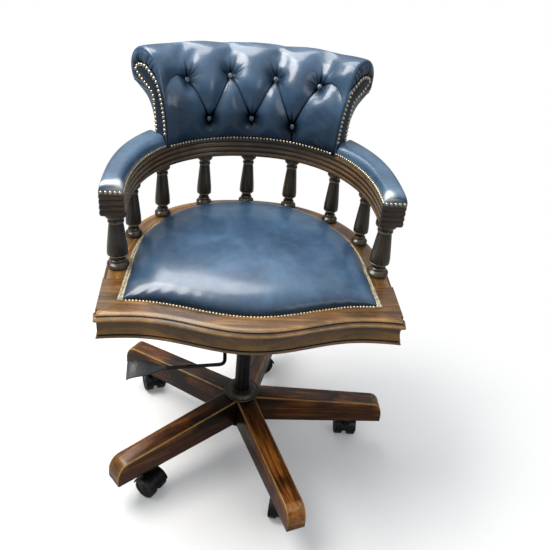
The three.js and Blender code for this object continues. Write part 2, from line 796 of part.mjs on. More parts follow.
// Buttons as [bearing, height], four above and three below, and the pleats between them.
const upperButtons = [-1.5, -0.5, 0.5, 1.5].map((step) => [step * buttonPitch, upperButtonZ]);
const lowerButtons = [-1, 0, 1].map((step) => [step * buttonPitch, lowerButtonZ]);

function pleats() {
  const lines = [];
  lowerButtons.forEach(([bearing, z], i) => {
    lines.push([bearing, z, ...upperButtons[i]], [bearing, z, ...upperButtons[i + 1]]);
    lines.push([bearing, z, bearing, foot]);
  });
  upperButtons.forEach(([bearing, z]) => lines.push([bearing, z, bearing, backTop]));
  const outer = upperButtons[upperButtons.length - 1][0];
  [-1, 1].forEach((side) => lines.push([side * outer, upperButtonZ, side * endTurn, upperButtonZ]));
  return lines;
}

// How far the leather is drawn in at a bearing and height.
function drawnIn(bearing, z) {
  const here = new THREE.Vector2(radians(bearing) * backInner, z);
  const button = Math.max(...[...upperButtons, ...lowerButtons].map(([b, height]) => {
    const away = Math.hypot(here.x - radians(b) * backInner, z - height);
    return tuftDepth * Math.exp(-((away / tuftSpread) ** 2));
  }));
  const pleat = Math.max(...pleats().map(([b1, z1, b2, z2]) => {
    const start = new THREE.Vector2(radians(b1) * backInner, z1);
    const along = new THREE.Vector2(radians(b2) * backInner, z2).sub(start);
    const share = THREE.MathUtils.clamp(here.clone().sub(start).dot(along) / along.lengthSq(), 0, 1);
    const away = here.distanceTo(start.addScaledVector(along, share));
    return pleatDepth * Math.exp(-((away / pleatSpread) ** 2));
  }));
  return Math.max(button, pleat);
}

// The front leather swells between the buttons, and less towards the ends and edges.
function swellAt(bearing, z) {
  const up = THREE.MathUtils.clamp((z - foot) / (scrollZ - foot), 0, 1);
  const across = THREE.MathUtils.clamp(bearing / endTurn, -1, 1);
  const crowned = backCrown * Math.sin(Math.PI * up) * (1 - across ** 4);
  return crowned - drawnIn(bearing, z) * smooth(z, foot, foot + pleatFade);
}

// One ring of a sweep round the back: where a section meets the upright plane at this share of the half turn.
function backRing(section, share, drawn, swell) {
  return section.map(([radius, z], i) => {
    const bearing = share * endBearing(radius, drawn);
    const turn = radians(bearing);
    const out = radius - swell(bearing, z, i);
    const place = point(out * Math.sin(turn), backCentreY + out * Math.cos(turn), z);
    return Object.assign(place, { outline: new THREE.Vector2(radius, z) });
  });
}

function roundBack(section, steps, drawn) {
  const rings = Array.from({ length: steps + 1 }, (_, step) => (
    backRing(section, lerp(-1, 1, step / steps), drawn, () => 0)));
  return skin(rings, (corner) => corner.outline);
}

// Depth from the end, and how much of the rounding is left there, as shares.
const roundingShares = [[0, 1], [0.13, 0.5], [0.35, 0.18], [1, 0]];

// A sweep whose outer face is rounded towards both ends. The corners from first to last are on that face;
// one of them is the lip under the scroll, which draws back along the line to the frame's top.
function softSweep(section, { first, last, lip }, steps, drawn, swell) {
  const outline = section.map(([radius, z]) => new THREE.Vector2(radius, z));
  const isSoft = (i) => i >= first && i <= last;
  const softSwell = (bearing, z, i) => (isSoft(i) ? swell(bearing, z) : 0);
  const coreCorner = outline[lip === last ? lip + 1 : lip - 1];
  const rounded = (side, [depth, left]) => {
    const inset = outline.map(({ y }, i) => (
      isSoft(i) ? -left * lerp(footRound, endRound, smooth(y, coreTop, scrollZ)) : 0));
    const shrunk = grown(outline, inset).map(({ x, y }, i) => [x, outline[i].y === foot ? foot : y]);
    const back = outline[lip].clone().lerp(coreCorner, (left * endRound) / outline[lip].distanceTo(coreCorner));
    shrunk[lip] = [back.x, back.y];
    return backRing(shrunk, side, drawn + depth * endRound, softSwell);
  };
  const rings = roundingShares.map((at) => rounded(-1, at));
  for (let step = 1; step < steps; step += 1) {
    rings.push(backRing(section, lerp(-1, 1, step / steps), drawn + endRound, softSwell));
  }
  rings.push(...roundingShares.slice().reverse().map((at) => rounded(1, at)));
  return skin(rings, (corner) => corner.outline);
}

function makeBack() {
  const drawn = facingThickness + clearance;
  const { section, soft } = cushionSection();
  const softCorners = { first: 0, last: soft - 1, lip: soft - 1 };
  addPiece('back_cushion', softSweep(section, softCorners, cushionSteps, drawn, swellAt), leather);
  const core = [...coreLine(0), ...coreLine(coreThickness).reverse()];
  addPiece('back_frame', roundBack(core, panelSteps, drawn), plywood);
  const [lipRadius, lipZ] = section[soft - 1];
  const rearRadius = backInner + backFoot;
  const rear = rearShares.map(([up, out]) => [lerp(rearRadius, lipRadius, out), lerp(foot, lipZ, up)]);
  rear[rear.length - 1][0] += backWaist;
  const gap = clearance;
  const panel = [...coreLine(coreThickness + gap), [lipRadius - gap, lipZ - gap * 2], ...rear];
  panel[coreRows][1] -= gap;
  const lip = coreRows + 1;
  const panelCorners = { first: lip, last: panel.length - 1, lip };
  addPiece('back_panel', softSweep(panel, panelCorners, panelSteps, drawn, () => 0), leather);
  makeFacings();
}

// A facing closes each end of the back: a strip that curls into the scroll and ends in a round tip.
const facingRows = 8;
const facingFrontShare = 0.91;  // its front edge follows the cushion up to this share of the scroll's height
// Round the tip and down under it: places from the scroll's centre, in shares of its radius.
const facingTipShares = [
  [-0.9, -0.09], [-0.64, 0.09], [-0.39, 0.235], [-0.18, 0.316], [0.06, 0.316], [0.29, 0.255], [0.49, 0.12],
  [0.567, -0.02], [0.49, -0.163], [0.306, -0.327], [-0.02, -0.52], [-0.286, -0.633], [-0.51, -0.745],
  [-0.653, -0.878], [-0.725, -1.08],
];
// Rear edge: share of the foot's thickness, and share of the height up to the scroll's centre.
const facingRearShares = [[1.03, 0.555], [0.97, 0.41], [0.91, 0.237], [0.88, 0]];

function makeFacings() {
  const front = Array.from({ length: facingRows }, (_, row) => {
    const z = lerp(foot, scrollZ, (facingFrontShare * row) / (facingRows - 1));
    return [frontAt(z) + facingInset, z];
  });
  const tip = facingTipShares.map(([out, up]) => [scrollOut + scrollRadius * out, scrollZ + scrollRadius * up]);
  const rear = facingRearShares.map(([out, up]) => [backInner + backFoot * out, lerp(foot, scrollZ, up)]);
  const outline = [...front, ...tip, ...rear];
  [['left', -1], ['right', 1]].forEach(([name, side]) => {
    const rings = [facingThickness, 0].map((drawn) => backRing(outline, side, drawn, () => 0));
    addPiece(`back_facing_${name}`, skin(rings, (corner) => corner.outline), leather);
  });
}

// All that lies behind the two end faces of the back, moved out by a distance.
function behindEnds(out) {
  const reach = scrollOut * 2;
  const turn = radians(endTurn);
  const along = [reach * Math.sin(turn), reach * Math.cos(turn)];
  const apex = -out / Math.sin(turn);
  const far = along[1] + apex;
  const wedge = new THREE.Shape([
    new THREE.Vector2(0, apex), new THREE.Vector2(along[0], far), new THREE.Vector2(-along[0], far),
  ]);
  return extruded(wedge, backTop);
}

// Arm pads: crowned strips on the rail, from the arm's end to the back's facing.
const padTopShares = [0, 0.06, 0.2, 0.4, 0.6, 0.8, 0.94, 1];
const padRiseAt = (share) => padCrown * (1 - (2 * share - 1) ** 4) ** padEdgePower;
const padEdgePower = 0.6;     // less makes the sides steeper
const padSteps = 19;
const padSpare = 4;           // steps that are left out at the back, where the back stands
// From the pad's front: share of its height, and share of its nose.
const noseShares = [[0.72, 0], [0.93, 0.3], [1, 0.9]];

function makeArmPads() {
  const frontY = -railForward + padInset;
  const z = railTop + clearance;
  const inset = (shape, by) => ({ ...shape, half: shape.half + by, back: shape.back + by });
  const inner = rightHalf(inset(horseshoes.railInside, padInset), frontY, padSteps).slice(0, -padSpare);
  const outer = rightHalf(inset(horseshoes.railOutside, -padInset), frontY, padSteps).slice(0, -padSpare);
  const ring = (i, lift, back) => {
    const across = (share, height) => {
      const { x, y } = inner[i].clone().lerp(outer[i], share);
      return point(x, y + back, height);
    };
    return [across(1, z), across(0, z),
      ...padTopShares.map((share) => across(share, z + (padSide + padRiseAt(share)) * lift))];
  };
  const noseRings = noseShares.map(([lift, back]) => ring(0, lift, padNose * back));
  const rings = [...noseRings, ...inner.slice(1).map((_, i) => ring(i + 1, 1, 0))];
  const whole = skin(rings, (corner) => new THREE.Vector2(corner.x - corner.y, corner.z));
  const right = cutFrom(whole, behindEnds(clearance * 2));
  addPiece('arm_pad_right', right, leather);
  addPiece('arm_pad_left', facingOut(right.clone().scale(-1, 1, 1)), leather);
}

// Mechanism under the seat
const plateTop = frameBottom + boardRaise - clearance;
const plateBottom = plateTop - plateThickness;
const housingTop = plateBottom - plateGap;
const pinZ = housingTop - pinDrop;
const pistonTop = housingTop - housingWall - clearance * 4;

// A hole across the mechanism, through both sides of its housing and the seat plate's ears.
function crossHole(radius, y, z) {
  return rod(holeRadius(radius, smallSides), housingHalfWidth * 4, smallSides)
    .rotateY(Math.PI / 2).translate(0, y, z);
}

function makeHousing() {
  const half = housingHalfWidth;
  const low = housingTop - housingDrop;
  const channel = new THREE.Shape([
    [-half, low], [-half, housingTop], [half, housingTop], [half, low], [half - housingWall, low],
    [half - housingWall, housingTop - housingWall], [housingWall - half, housingTop - housingWall],
    [housingWall - half, low],
  ].map(([x, z]) => new THREE.Vector2(x, z)));
  const body = extruded(channel, housingFront + housingRear).rotateX(Math.PI / 2).translate(0, housingRear, 0);
  const boss = rod(bossRadius, bossDepth + overrun, smallSides)
    .translate(0, 0, housingTop - housingWall - bossDepth / 2 + overrun / 2);
  const stop = new THREE.BoxGeometry(stopHalfWidth * 2, stopLength, plateGap - clearance + overrun)
    .translate(0, -housingFront + stopLength / 2, housingTop + (plateGap - clearance - overrun) / 2);
  const bore = rod(holeRadius(pistonRadius, roundSides), housingTop, roundSides)
    .translate(0, 0, pistonTop + clearance - housingTop / 2);
  const holes = [crossHole(pinRadius, pinY, pinZ), crossHole(rodRadius, rodPivotY, housingTop - rodPivotDrop)];
  addPiece('mechanism_housing', cutFrom(joined(body, boss, stop), bore, ...holes), blackSteel);
}

function makeTiltPin() {
  const reach = housingHalfWidth + clearance * 2 + earThickness + clearance;
  addPiece('tilt_pin', turned([
    [0, -reach - pinHead], [pinHeadRadius, -reach - pinHead], [pinHeadRadius, -reach], [pinRadius, -reach],
    [pinRadius, reach], [pinHeadRadius, reach], [pinHeadRadius, reach + pinHead], [0, reach + pinHead],
  ], smallSides).rotateY(Math.PI / 2).translate(0, pinY, pinZ), steel);
}

function makeSeatPlate() {
  const plate = new THREE.BoxGeometry(plateHalfWidth * 2, plateFront + plateRear, plateThickness)
    .translate(0, (plateRear - plateFront) / 2, plateBottom + plateThickness / 2);
  const ear = new THREE.Shape();
  const top = plateBottom + plateThickness / 2;
  ear.moveTo(pinY + earHalfWidth, top);
  ear.lineTo(pinY - earHalfWidth, top);
  ear.absarc(pinY, pinZ, earHalfWidth * earShare, Math.PI, Math.PI * 2, false);
  // The ear is drawn in Y and Z, so it is stood up and pushed to its side.
  const inner = housingHalfWidth + clearance * 2;
  const ears = [-inner - earThickness, inner].map((x) => extruded(ear, earThickness, earSteps)
    .rotateX(Math.PI / 2).rotateZ(Math.PI / 2).translate(x, 0, 0));
  addPiece('seat_plate', cutFrom(joined(plate, ...ears), crossHole(pinRadius, pinY, pinZ)), blackSteel);
}
const earSteps = 8;
const earShare = 0.6;         // radius of the ear's round end, as a share of its half width

function makeTension() {
  const top = housingTop - housingWall - clearance;
  const bottom = top - barrelDrop;
  const hole = holeRadius(screwRadius, smallSides);
  addPiece('spring_barrel', turned([
    [hole, bottom], [barrelRadius, bottom], [barrelRadius, top], [barrelRadius - barrelWall, top],
    [barrelRadius - barrelWall, bottom + barrelWall], [hole, bottom + barrelWall], [hole, bottom],
  ], smallSides).translate(0, springY, 0), blackSteel);
  makeSpring(bottom + barrelWall, top);
  makeKnob(bottom - clearance, top - clearance);
}

// The compression spring in the barrel, between two heights.
function makeSpring(floor, ceiling) {
  const low = floor + wireRadius + clearance;
  const high = ceiling - wireRadius - clearance;

  class Helix extends THREE.Curve {
    getPoint(share, target = new THREE.Vector3()) {
      const turn = share * coilTurns * Math.PI * 2;
      const [x, y] = [coilRadius * Math.cos(turn), coilRadius * Math.sin(turn)];
      return target.set(x, y + springY, lerp(low, high, share));
    }
  }
  const coil = new Helix();
  const wire = new THREE.Shape().absarc(0, 0, wireRadius, 0, Math.PI * 2);
  addPiece('tension_spring', facingOut(bare(new THREE.ExtrudeGeometry(wire, {
    extrudePath: coil, steps: coilTurns * turnSteps, bevelEnabled: false, curveSegments: wireSteps,
  }))), steel);
  const places = coil.getPoints(coilTurns * turnSteps);
  const gaps = places.slice(turnSteps).map((place, i) => place.distanceTo(places[i]) - wireRadius * 2);
  console.log(`least gap between the spring's turns: ${Math.min(...gaps).toFixed(2)} mm`);
}
const turnSteps = 9;
const wireSteps = 3;

function makeKnob(knobTop, screwTop) {
  const knobBottom = knobTop - knobHeight;
  const round = knobHeight * knobShare;
  addPiece('tension_knob', turned([
    [0, knobBottom], [knobRadius - round, knobBottom], [knobRadius, knobBottom + round],
    [knobRadius, knobTop - round], [knobRadius - round, knobTop], [screwRadius, knobTop],
    [screwRadius, screwTop], [0, screwTop],
  ], smallSides).translate(0, springY, 0), blackPlastic);
}
const knobShare = 0.25;

// Lever: a bent rod that turns in the housing, with a flat paddle at its end.
function leverPath() {
  const pivotZ = housingTop - rodPivotDrop;
  const corners = [
    point(housingHalfWidth + rodOverhang, rodPivotY, pivotZ),
    point(leverBendX, rodPivotY, pivotZ),
    point(leverBendX, leverBendY, leverZ),
    point(leverEndX, leverEndY, leverZ),
  ];
  const path = new THREE.CurvePath();
  let from = corners[0];
  for (let i = 1; i < corners.length - 1; i += 1) {
    const inward = corners[i].clone().sub(corners[i - 1]).setLength(rodBendRadius);
    const outward = corners[i + 1].clone().sub(corners[i]).setLength(rodBendRadius);
    const start = corners[i].clone().sub(inward);
    const end = corners[i].clone().add(outward);
    path.add(new THREE.LineCurve3(from, start));
    path.add(new THREE.QuadraticBezierCurve3(start, corners[i], end));
    from = end;
  }
  path.add(new THREE.LineCurve3(from, corners[corners.length - 1]));
  return path;
}

const leverSteps = 26;
const rodSteps = 4;

function makeLever() {
  const section = new THREE.Shape().absarc(0, 0, rodRadius, 0, Math.PI * 2);
  addPiece('lever_rod', facingOut(bare(new THREE.ExtrudeGeometry(section, {
    extrudePath: leverPath(), steps: leverSteps, bevelEnabled: false, curveSegments: rodSteps,
  }))), blackSteel);
  const start = point(leverEndX - clearance * 3, leverEndY, leverZ);
  const lean = radians(paddleTilt);
  const rings = paddleShares.map(([along, width, drop, thickness]) => {
    const x = start.x - paddleLength * along;
    const y = start.y - paddleSweep * along;
    const z = start.z - paddleCurl * drop;
    const half = paddleHalfWidth * width;
    const thick = (paddleThickness * thickness) / 2;
    return [[-half, -thick], [half, -thick], [half, thick], [-half, thick]]
      .map(([across, up]) => point(x, y + across * Math.cos(lean), z + across * Math.sin(lean) + up));
  });
  addPiece('lever_paddle', skin(rings, (corner) => new THREE.Vector2(corner.y, corner.z)), blackPlastic);
}
// Along the paddle: share of its length, half width, curl and thickness.
const paddleShares = [
  [0, 0.16, 0, 2.4], [0.15, 0.22, 0, 1.8], [0.38, 0.5, 0, 1.1], [0.6, 0.75, 0, 1],
  [0.82, 0.93, 0.1, 1], [0.94, 1, 0.45, 1], [1, 0.97, 1, 0.9],
];

makeLegs();
makeColumn();
makeCasters();
makeSeatFrame();
makeSeatBoard();
makeSeatCushion();
makeSpindles();
makeArmRail();
makeArmPads();
makeBack();
makeHousing();
makeTiltPin();
makeSeatPlate();
makeTension();
makeLever();

export default chair;
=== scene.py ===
"""A swivel captain's chair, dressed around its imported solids.

Lengths are in millimetres and places are offsets from the column's axis at floor level, with the chair
facing -Y. They become metres in the row frame when a mesh is made.
"""
import math

import bmesh
import bpy
import numpy as np
from mathutils import Matrix, Vector


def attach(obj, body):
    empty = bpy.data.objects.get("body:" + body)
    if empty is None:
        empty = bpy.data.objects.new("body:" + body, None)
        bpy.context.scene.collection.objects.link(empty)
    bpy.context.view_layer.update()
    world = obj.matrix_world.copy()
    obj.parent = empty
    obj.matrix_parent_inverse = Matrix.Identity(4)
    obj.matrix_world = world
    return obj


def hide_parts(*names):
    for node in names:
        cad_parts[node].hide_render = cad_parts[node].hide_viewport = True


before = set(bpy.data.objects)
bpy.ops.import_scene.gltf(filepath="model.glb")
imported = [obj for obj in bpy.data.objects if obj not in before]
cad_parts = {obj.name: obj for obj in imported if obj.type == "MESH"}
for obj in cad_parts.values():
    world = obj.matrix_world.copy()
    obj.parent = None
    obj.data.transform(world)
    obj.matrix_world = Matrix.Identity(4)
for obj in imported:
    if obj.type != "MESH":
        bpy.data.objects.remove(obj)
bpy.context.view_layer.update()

MM = 0.001
COLUMN = np.array([-20.0, -40.0, 0.0])      # the column's axis in the row frame
rng = np.random.default_rng(7)

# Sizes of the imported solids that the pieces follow. HALF is half a width, BACK how far a bow reaches back.
LEG_FIRST = 0.4                              # bearing of the first leg, in degrees
CASTER_HEADINGS = (85, 205, 109, 325, 78)
CASTER_RING, CASTER_TRAIL, WHEEL = 268, 16, 25
SEAT_TOP, FRAME_HEIGHT = 495, 58
HOOP_HALF, HOOP_BACK = 298, 327
OPENING_HALF, OPENING_BACK = 239, 278
FRONT_HALF, JOINT_Y = 301, -42               # the front rail's corner, and where it meets the hoop
OPENING_FRONT_HALF = 247
LEATHER_HALF, LEATHER_BACK = 245, 284
LEATHER_FRONT_HALF, LEATHER_SETBACK = 253, 49
ARM_HALF, ARM_BACK = 276, 313                # the line that the spindles stand on
SPINDLE_HEIGHT = 130.4
RAIL_IN, RAIL_OUT, RAIL_OUT_BACK = 22, 28, 36
RAIL_BOTTOM, RAIL_TOP = 626, 674
RAIL_POWER = 2.5                             # how square the rail's outer bow is
RAIL_FRONT, PAD_INSET = -21.0, 1.5
FOOT = 674.3                                 # the pads and the back stand on the rail here
BACK_CENTRE_Y, BACK_INNER = 15, 268
SCROLL_OUT, SCROLL_Z, SCROLL_R = 352, 825, 49
SCROLL_END = -38                             # degrees round the scroll at which its leather ends
END_TURN = 42                                # bearing of the back's flat ends
CUSHION_DEEP, BOARD_THICK, BOARD_TOP = 20, 12, 785
CUSHION_GAP = 0.3                            # between the cushion or the panel and the board
SPRING_AXIS = (0, -70, 0)                    # the tilt spring's and its knob's
SIDES = (("right", 1), ("left", -1))


# Materials ---------------------------------------------------------------------------------------

def srgb(code):
    """A colour written as RRGGBB in sRGB, as linear light."""
    return tuple(v / 12.92 if v <= 0.04045 else ((v + 0.055) / 1.055) ** 2.4
                 for v in (value / 255 for value in bytes.fromhex(code)))


def dimmed(color, share):
    return tuple(value * share for value in color)


class Nodes:
    """A node tree, with short calls for the nodes that the finishes and the light share."""

    def __init__(self, tree):
        self.tree = tree

    def put(self, socket, value):
        if isinstance(value, bpy.types.NodeSocket):
            self.tree.links.new(value, socket)
        else:
            socket.default_value = (*value, 1.0) if socket.type == "RGBA" else value

    def node(self, kind, inputs=None, **settings):
        made = self.tree.nodes.new(kind)
        for key, value in settings.items():
            setattr(made, key, value)
        for key, value in (inputs or {}).items():
            self.put(made.inputs[key], value)
        return made

    def coordinates(self):
        return self.node("ShaderNodeTexCoord").outputs["Object"]

    def attribute(self, name, output="Fac"):
        return self.node("ShaderNodeAttribute", attribute_name=name).outputs[output]

    def scaled(self, vector, factors):
        return self.node("ShaderNodeVectorMath", {0: vector, 1: factors}, operation="MULTIPLY").outputs[0]

    def noise(self, vector, scale, detail=4.0, roughness=0.55, distortion=0.0):
        return self.node("ShaderNodeTexNoise", {
            "Vector": vector, "Scale": scale, "Detail": detail, "Roughness": roughness,
            "Distortion": distortion}).outputs["Fac"]

    def math(self, operation, a, b=0.0, clamp=False):
        return self.node("ShaderNodeMath", {0: a, 1: b}, operation=operation, use_clamp=clamp).outputs[0]

    def ramp(self, value, *stops):
        """Stops are a place and a colour or a grey level."""
        made = self.node("ShaderNodeValToRGB", {"Fac": value})
        elements = made.color_ramp.elements
        while len(elements) < len(stops):
            elements.new(0.5)
        for element, (place, color) in zip(elements, stops):
            element.position = place
            element.color = (*color, 1) if hasattr(color, "__len__") else (color, color, color, 1)
        return made.outputs["Color"]

    def mix(self, share, a, b):
        return self.node("ShaderNodeMix", {"Factor": share, 6: a, 7: b}, data_type="RGBA").outputs[2]

    def mix_shaders(self, share, a, b):
        return self.node("ShaderNodeMixShader", {0: share, 1: a, 2: b}).outputs[0]

    def bump(self, height, strength, distance, normal=None):
        inputs = {"Height": height, "Strength": strength, "Distance": distance}
        if normal is not None:
            inputs["Normal"] = normal
        return self.node("ShaderNodeBump", inputs).outputs["Normal"]

    def toned(self, color, dark, pale, wear=None):
        """Paints shade into recesses and pales crests by the mesh's own tone: -1 in a recess, 1 on a crest.
        The pale end is wear on some pieces and a painted highlight on others.
        """
        tone = self.attribute("tone")
        low = self.math("MULTIPLY", tone, -1.0, clamp=True)
        high = self.math("MULTIPLY", tone, 1.0, clamp=True)
        if wear is not None:
            high = self.math("MULTIPLY", high, wear)
        return self.mix(high, self.mix(low, color, dark), pale)


class Finish(Nodes):
    """A material's nodes, around its Principled shader."""

    def __init__(self, name):
        self.material = bpy.data.materials.new(name)
        self.material.use_nodes = True
        super().__init__(self.material.node_tree)
        self.bsdf = self.tree.nodes["Principled BSDF"]

    def finish(self, **values):
        for key, value in values.items():
            self.put(self.bsdf.inputs[key.replace("_", " ")], value)
        return self.material


def make_leather(name, codes):
    """Leather; the colours are its deep, middle and light dye, the painted shade in its folds and recesses,
    and its rubbed places and painted highlights.
    """
    deep, middle, light, dark, pale = map(srgb, codes.split())
    s = Finish(name)
    place = s.coordinates()
    color = s.ramp(s.noise(place, 9.0, 5.0, 0.6, 0.4), (0.28, deep), (0.5, middle), (0.74, light))
    mottle = s.ramp(s.noise(place, 55.0, 4.0, 0.7), (0.45, 0.0), (0.75, 0.35))
    # The mesh's tone paints shade into folds, pits and hollows, and pales rubbed places and painted
    # highlights.
    color = s.toned(s.mix(mottle, color, light), dark, pale)
    # A tone above 1 is leather that has worn through in patches.
    patch = s.math("MULTIPLY", s.noise(place, 150.0, 5.0, 0.7), 0.95)
    worn = s.math("SUBTRACT", s.math("SUBTRACT", s.attribute("tone"), 1.0), patch)
    color = s.mix(s.math("MULTIPLY", worn, 9.0, clamp=True), color, srgb("dee0de"))
    # Pebbled grain, with fine creases between the pebbles.
    pebble = s.node("ShaderNodeTexVoronoi", {"Vector": place, "Scale": 620.0, "Randomness": 1.0},
                    feature="SMOOTH_F1").outputs["Distance"]
    crease = s.noise(s.scaled(place, (1.0, 1.0, 0.45)), 130.0, 5.0, 0.65, 1.2)
    normal = s.bump(crease, 0.12, 0.0011, s.bump(pebble, 0.1, 0.0004))
    rough = s.ramp(s.noise(place, 38.0, 3.0), (0.3, 0.3), (0.75, 0.46))
    # Deep in a fold hardly any light reaches the polish.
    open_share = s.math("SUBTRACT", 1.0, s.math("MULTIPLY", s.attribute("tone"), -0.9, clamp=True))
    return s.finish(Base_Color=color, Roughness=rough, Normal=normal, Coat_Roughness=0.19,
                    Coat_Weight=s.math("MULTIPLY", open_share, 0.9),
                    Specular_IOR_Level=s.math("MULTIPLY", open_share, 0.5))


def make_wood(name, codes, stain=0.0, polish=1.0, rough=(0.22, 0.4)):
    """Wood whose grain runs along the first axis of the mesh's own grain coordinates; the colours are its
    dark, middle and light fibres, its stain, pores and painted shade in recesses, and its rubbed places and
    painted highlights."""
    dark, middle, light, recess, rubbed = map(srgb, codes.split())
    s = Finish(name)
    place = s.attribute("grain", "Vector")
    fibre = s.noise(s.scaled(place, (5.0, 150.0, 150.0)), 1.0, 6.0, 0.6, 0.6)
    band = s.noise(s.scaled(place, (2.5, 18.0, 18.0)), 1.0, 3.0, 0.5, 1.5)
    figure = s.math("ADD", s.math("MULTIPLY", fibre, 0.55), s.math("MULTIPLY", band, 0.45))
    color = s.ramp(figure, (0.36, dark), (0.5, middle), (0.64, light))
    # Old stain that has stayed dark in some places and worn thin in others.
    stained = s.noise(s.coordinates(), 7.0, 3.0, 0.55, 0.6)
    color = s.mix(s.ramp(stained, (0.4, stain), (0.58, 0.0)), color, recess)
    pores = s.noise(s.scaled(place, (25.0, 750.0, 750.0)), 1.0, 2.0)
    color = s.mix(s.ramp(pores, (0.3, 0.55), (0.4, 0.0)), color, recess)
    worn = s.ramp(s.noise(s.coordinates(), 34.0, 4.0, 0.7), (0.32, 0.35), (0.62, 1.0))
    # The mesh's tone paints shade into grooves and highlights onto crests and edges, which show in random
    # worn patches.
    color = s.toned(color, recess, rubbed, worn)
    normal = s.bump(pores, 0.1, 0.0003, s.bump(fibre, 0.12, 0.0005))
    roughness = s.ramp(s.noise(s.coordinates(), 25.0, 3.0), (0.3, rough[0]), (0.75, rough[1]))
    return s.finish(Base_Color=color, Roughness=roughness, Normal=normal, Coat_Weight=0.3 * polish,
                    Coat_Roughness=0.14, Specular_IOR_Level=0.5 * polish)


def make_metal(name, codes, metallic, rough, scale=60.0):
    color, worn = map(srgb, codes.split())
    s = Finish(name)
    place = s.coordinates()
    spots = s.ramp(s.noise(place, scale, 5.0, 0.7), (0.5, 0.0), (0.72, 0.6))
    base = s.toned(s.mix(spots, color, worn), dimmed(color, 0.35), worn)
    normal = s.bump(s.noise(place, scale * 14, 3.0), 0.06, 0.0003)
    roughness = s.ramp(s.noise(place, scale * 0.7, 4.0), (0.3, rough[0]), (0.75, rough[1]))
    return s.finish(Base_Color=base, Roughness=roughness, Normal=normal, Metallic=metallic)


def make_plastic(name, codes, rough):
    color, scuffed = map(srgb, codes.split())
    s = Finish(name)
    place = s.coordinates()
    scuffs = s.noise(s.scaled(place, (1.0, 1.0, 3.0)), 90.0, 6.0, 0.75, 0.8)
    base = s.mix(s.ramp(scuffs, (0.55, 0.0), (0.8, 0.5)), color, scuffed)
    return s.finish(Base_Color=s.toned(base, dimmed(color, 0.4), scuffed),
                    Normal=s.bump(s.noise(place, 900.0, 2.0), 0.05, 0.0002),
                    Roughness=s.ramp(scuffs, (0.3, rough[0]), (0.75, rough[1])))


def make_yarn(name, codes):
    color, other = map(srgb, codes.split())
    s = Finish(name)
    place = s.coordinates()
    patches = s.ramp(s.noise(place, 120.0, 3.0, 0.7), (0.42, 0.0), (0.62, 1.0))
    # The mesh's tone paints shade into the braid's low parts.
    base = s.toned(s.mix(patches, color, other), dimmed(color, 0.3), color)
    threads = s.node("ShaderNodeTexWave", {"Vector": place, "Scale": 420.0, "Distortion": 3.0,
                                           "Detail": 2.0}).outputs["Fac"]
    return s.finish(Base_Color=base, Roughness=0.6, Normal=s.bump(threads, 0.35, 0.0004), Sheen_Weight=0.3)


LEATHER = make_leather("blue_leather", "263d56 33506c 4a6985 060a12 96aaba")
PAD_LEATHER = make_leather("pad_leather", "2b435b 3b5772 58738b 080d14 ced4d6")
LEG_WOOD = make_wood("leg_wood", "1e0e05 5c310e b06a26 0e0803 d4a054", 0.95, 0.6)
FRAME_WOOD = make_wood("frame_wood", "422b13 734e25 a87a42 140d08 d4a662", 0.6)
RAIL_WOOD = make_wood("rail_wood", "2a1e11 46331f 6a4f30 0c0806 a07c4e", 0.5)
SPINDLE_WOOD = make_wood("spindle_wood", "241f18 382f22 564832 0c0908 a08c70", 0.4)
PLYWOOD = make_wood("plywood", "96744c ae8a5e c4a070 6e5436 ceb082",
                    rough=(0.55, 0.75))
BLACK_STEEL = make_metal("black_steel", "141416 3a3a3c", 0.5, (0.28, 0.45))
BRONZE = make_metal("dark_bronze", "403b34 787062", 0.75, (0.3, 0.5))
STEEL = make_metal("bright_steel", "96989c 6e6c68", 1.0, (0.18, 0.35))
BRASS = make_metal("brass_nails", "cec2a4 78684c", 1.0, (0.2, 0.42), 140.0)
BLACK_PLASTIC = make_plastic("black_plastic", "111113 5c5c5e", (0.18, 0.45))
BRAID = make_yarn("braid", "d4caac 807048")


# Mesh work ---------------------------------------------------------------------------------------

def smooth(value, low, high):
    """0 up to low, 1 from high, and an even rise between them."""
    t = np.clip((np.asarray(value, float) - low) / (high - low), 0, 1)
    return t * t * (3 - 2 * t)


def sweep(start, end, count):
    """Angles in radians, evenly from one in degrees to another."""
    return np.radians(np.linspace(start, end, count))


def bell(value, width):
    """1 at 0, and falling off evenly to both sides."""
    return np.exp(-(value / width) ** 2)


def unit(vectors):
    """Vectors brought to length 1."""
    return vectors / np.maximum(np.linalg.norm(vectors, axis=-1, keepdims=True), 1e-9)


def raised(plan, z):
    """Plan points at a height, or each at its own."""
    return np.c_[plan, np.broadcast_to(z, len(plan))]


def piece(name, verts, faces, body, slot, material, replaces=(), tone=None, grain=None, sharp=35):
    """A piece of the chair: verts are offsets from the column's axis in millimetres."""
    verts = np.asarray(verts, float)
    mesh = bpy.data.meshes.new(name)
    mesh.from_pydata(((verts + COLUMN) * MM).tolist(), [], [tuple(int(i) for i in face) for face in faces])
    if tone is not None:
        mesh.attributes.new("tone", "FLOAT", "POINT").data.foreach_set("value", np.asarray(tone, np.float32))
    if grain is not None:
        layer = mesh.attributes.new("grain", "FLOAT_VECTOR", "POINT")
        layer.data.foreach_set("vector", (np.asarray(grain, np.float32) * MM).ravel())
    work = bmesh.new()
    work.from_mesh(mesh)
    bmesh.ops.recalc_face_normals(work, faces=work.faces)
    work.to_mesh(mesh)
    work.free()
    mesh.shade_smooth()
    mesh.set_sharp_from_angle(angle=math.radians(sharp))
    mesh.materials.append(material)
    made = bpy.data.objects.new(name, mesh)
    bpy.context.scene.collection.objects.link(made)
    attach(made, body)
    if replaces:
        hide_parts(*replaces)
    return made


def grid_faces(rows, columns, start=0, closed=True):
    """Quads between rows of equally many corners; closed joins each row's ends."""
    row = np.arange(rows - 1)[:, None] * columns
    column = np.arange(columns if closed else columns - 1)[None, :]
    following = (column + 1) % columns
    a, b = row + column, row + following
    faces = np.stack([a, b, b + columns, a + columns], -1).reshape(-1, 4) + start
    return faces.tolist()


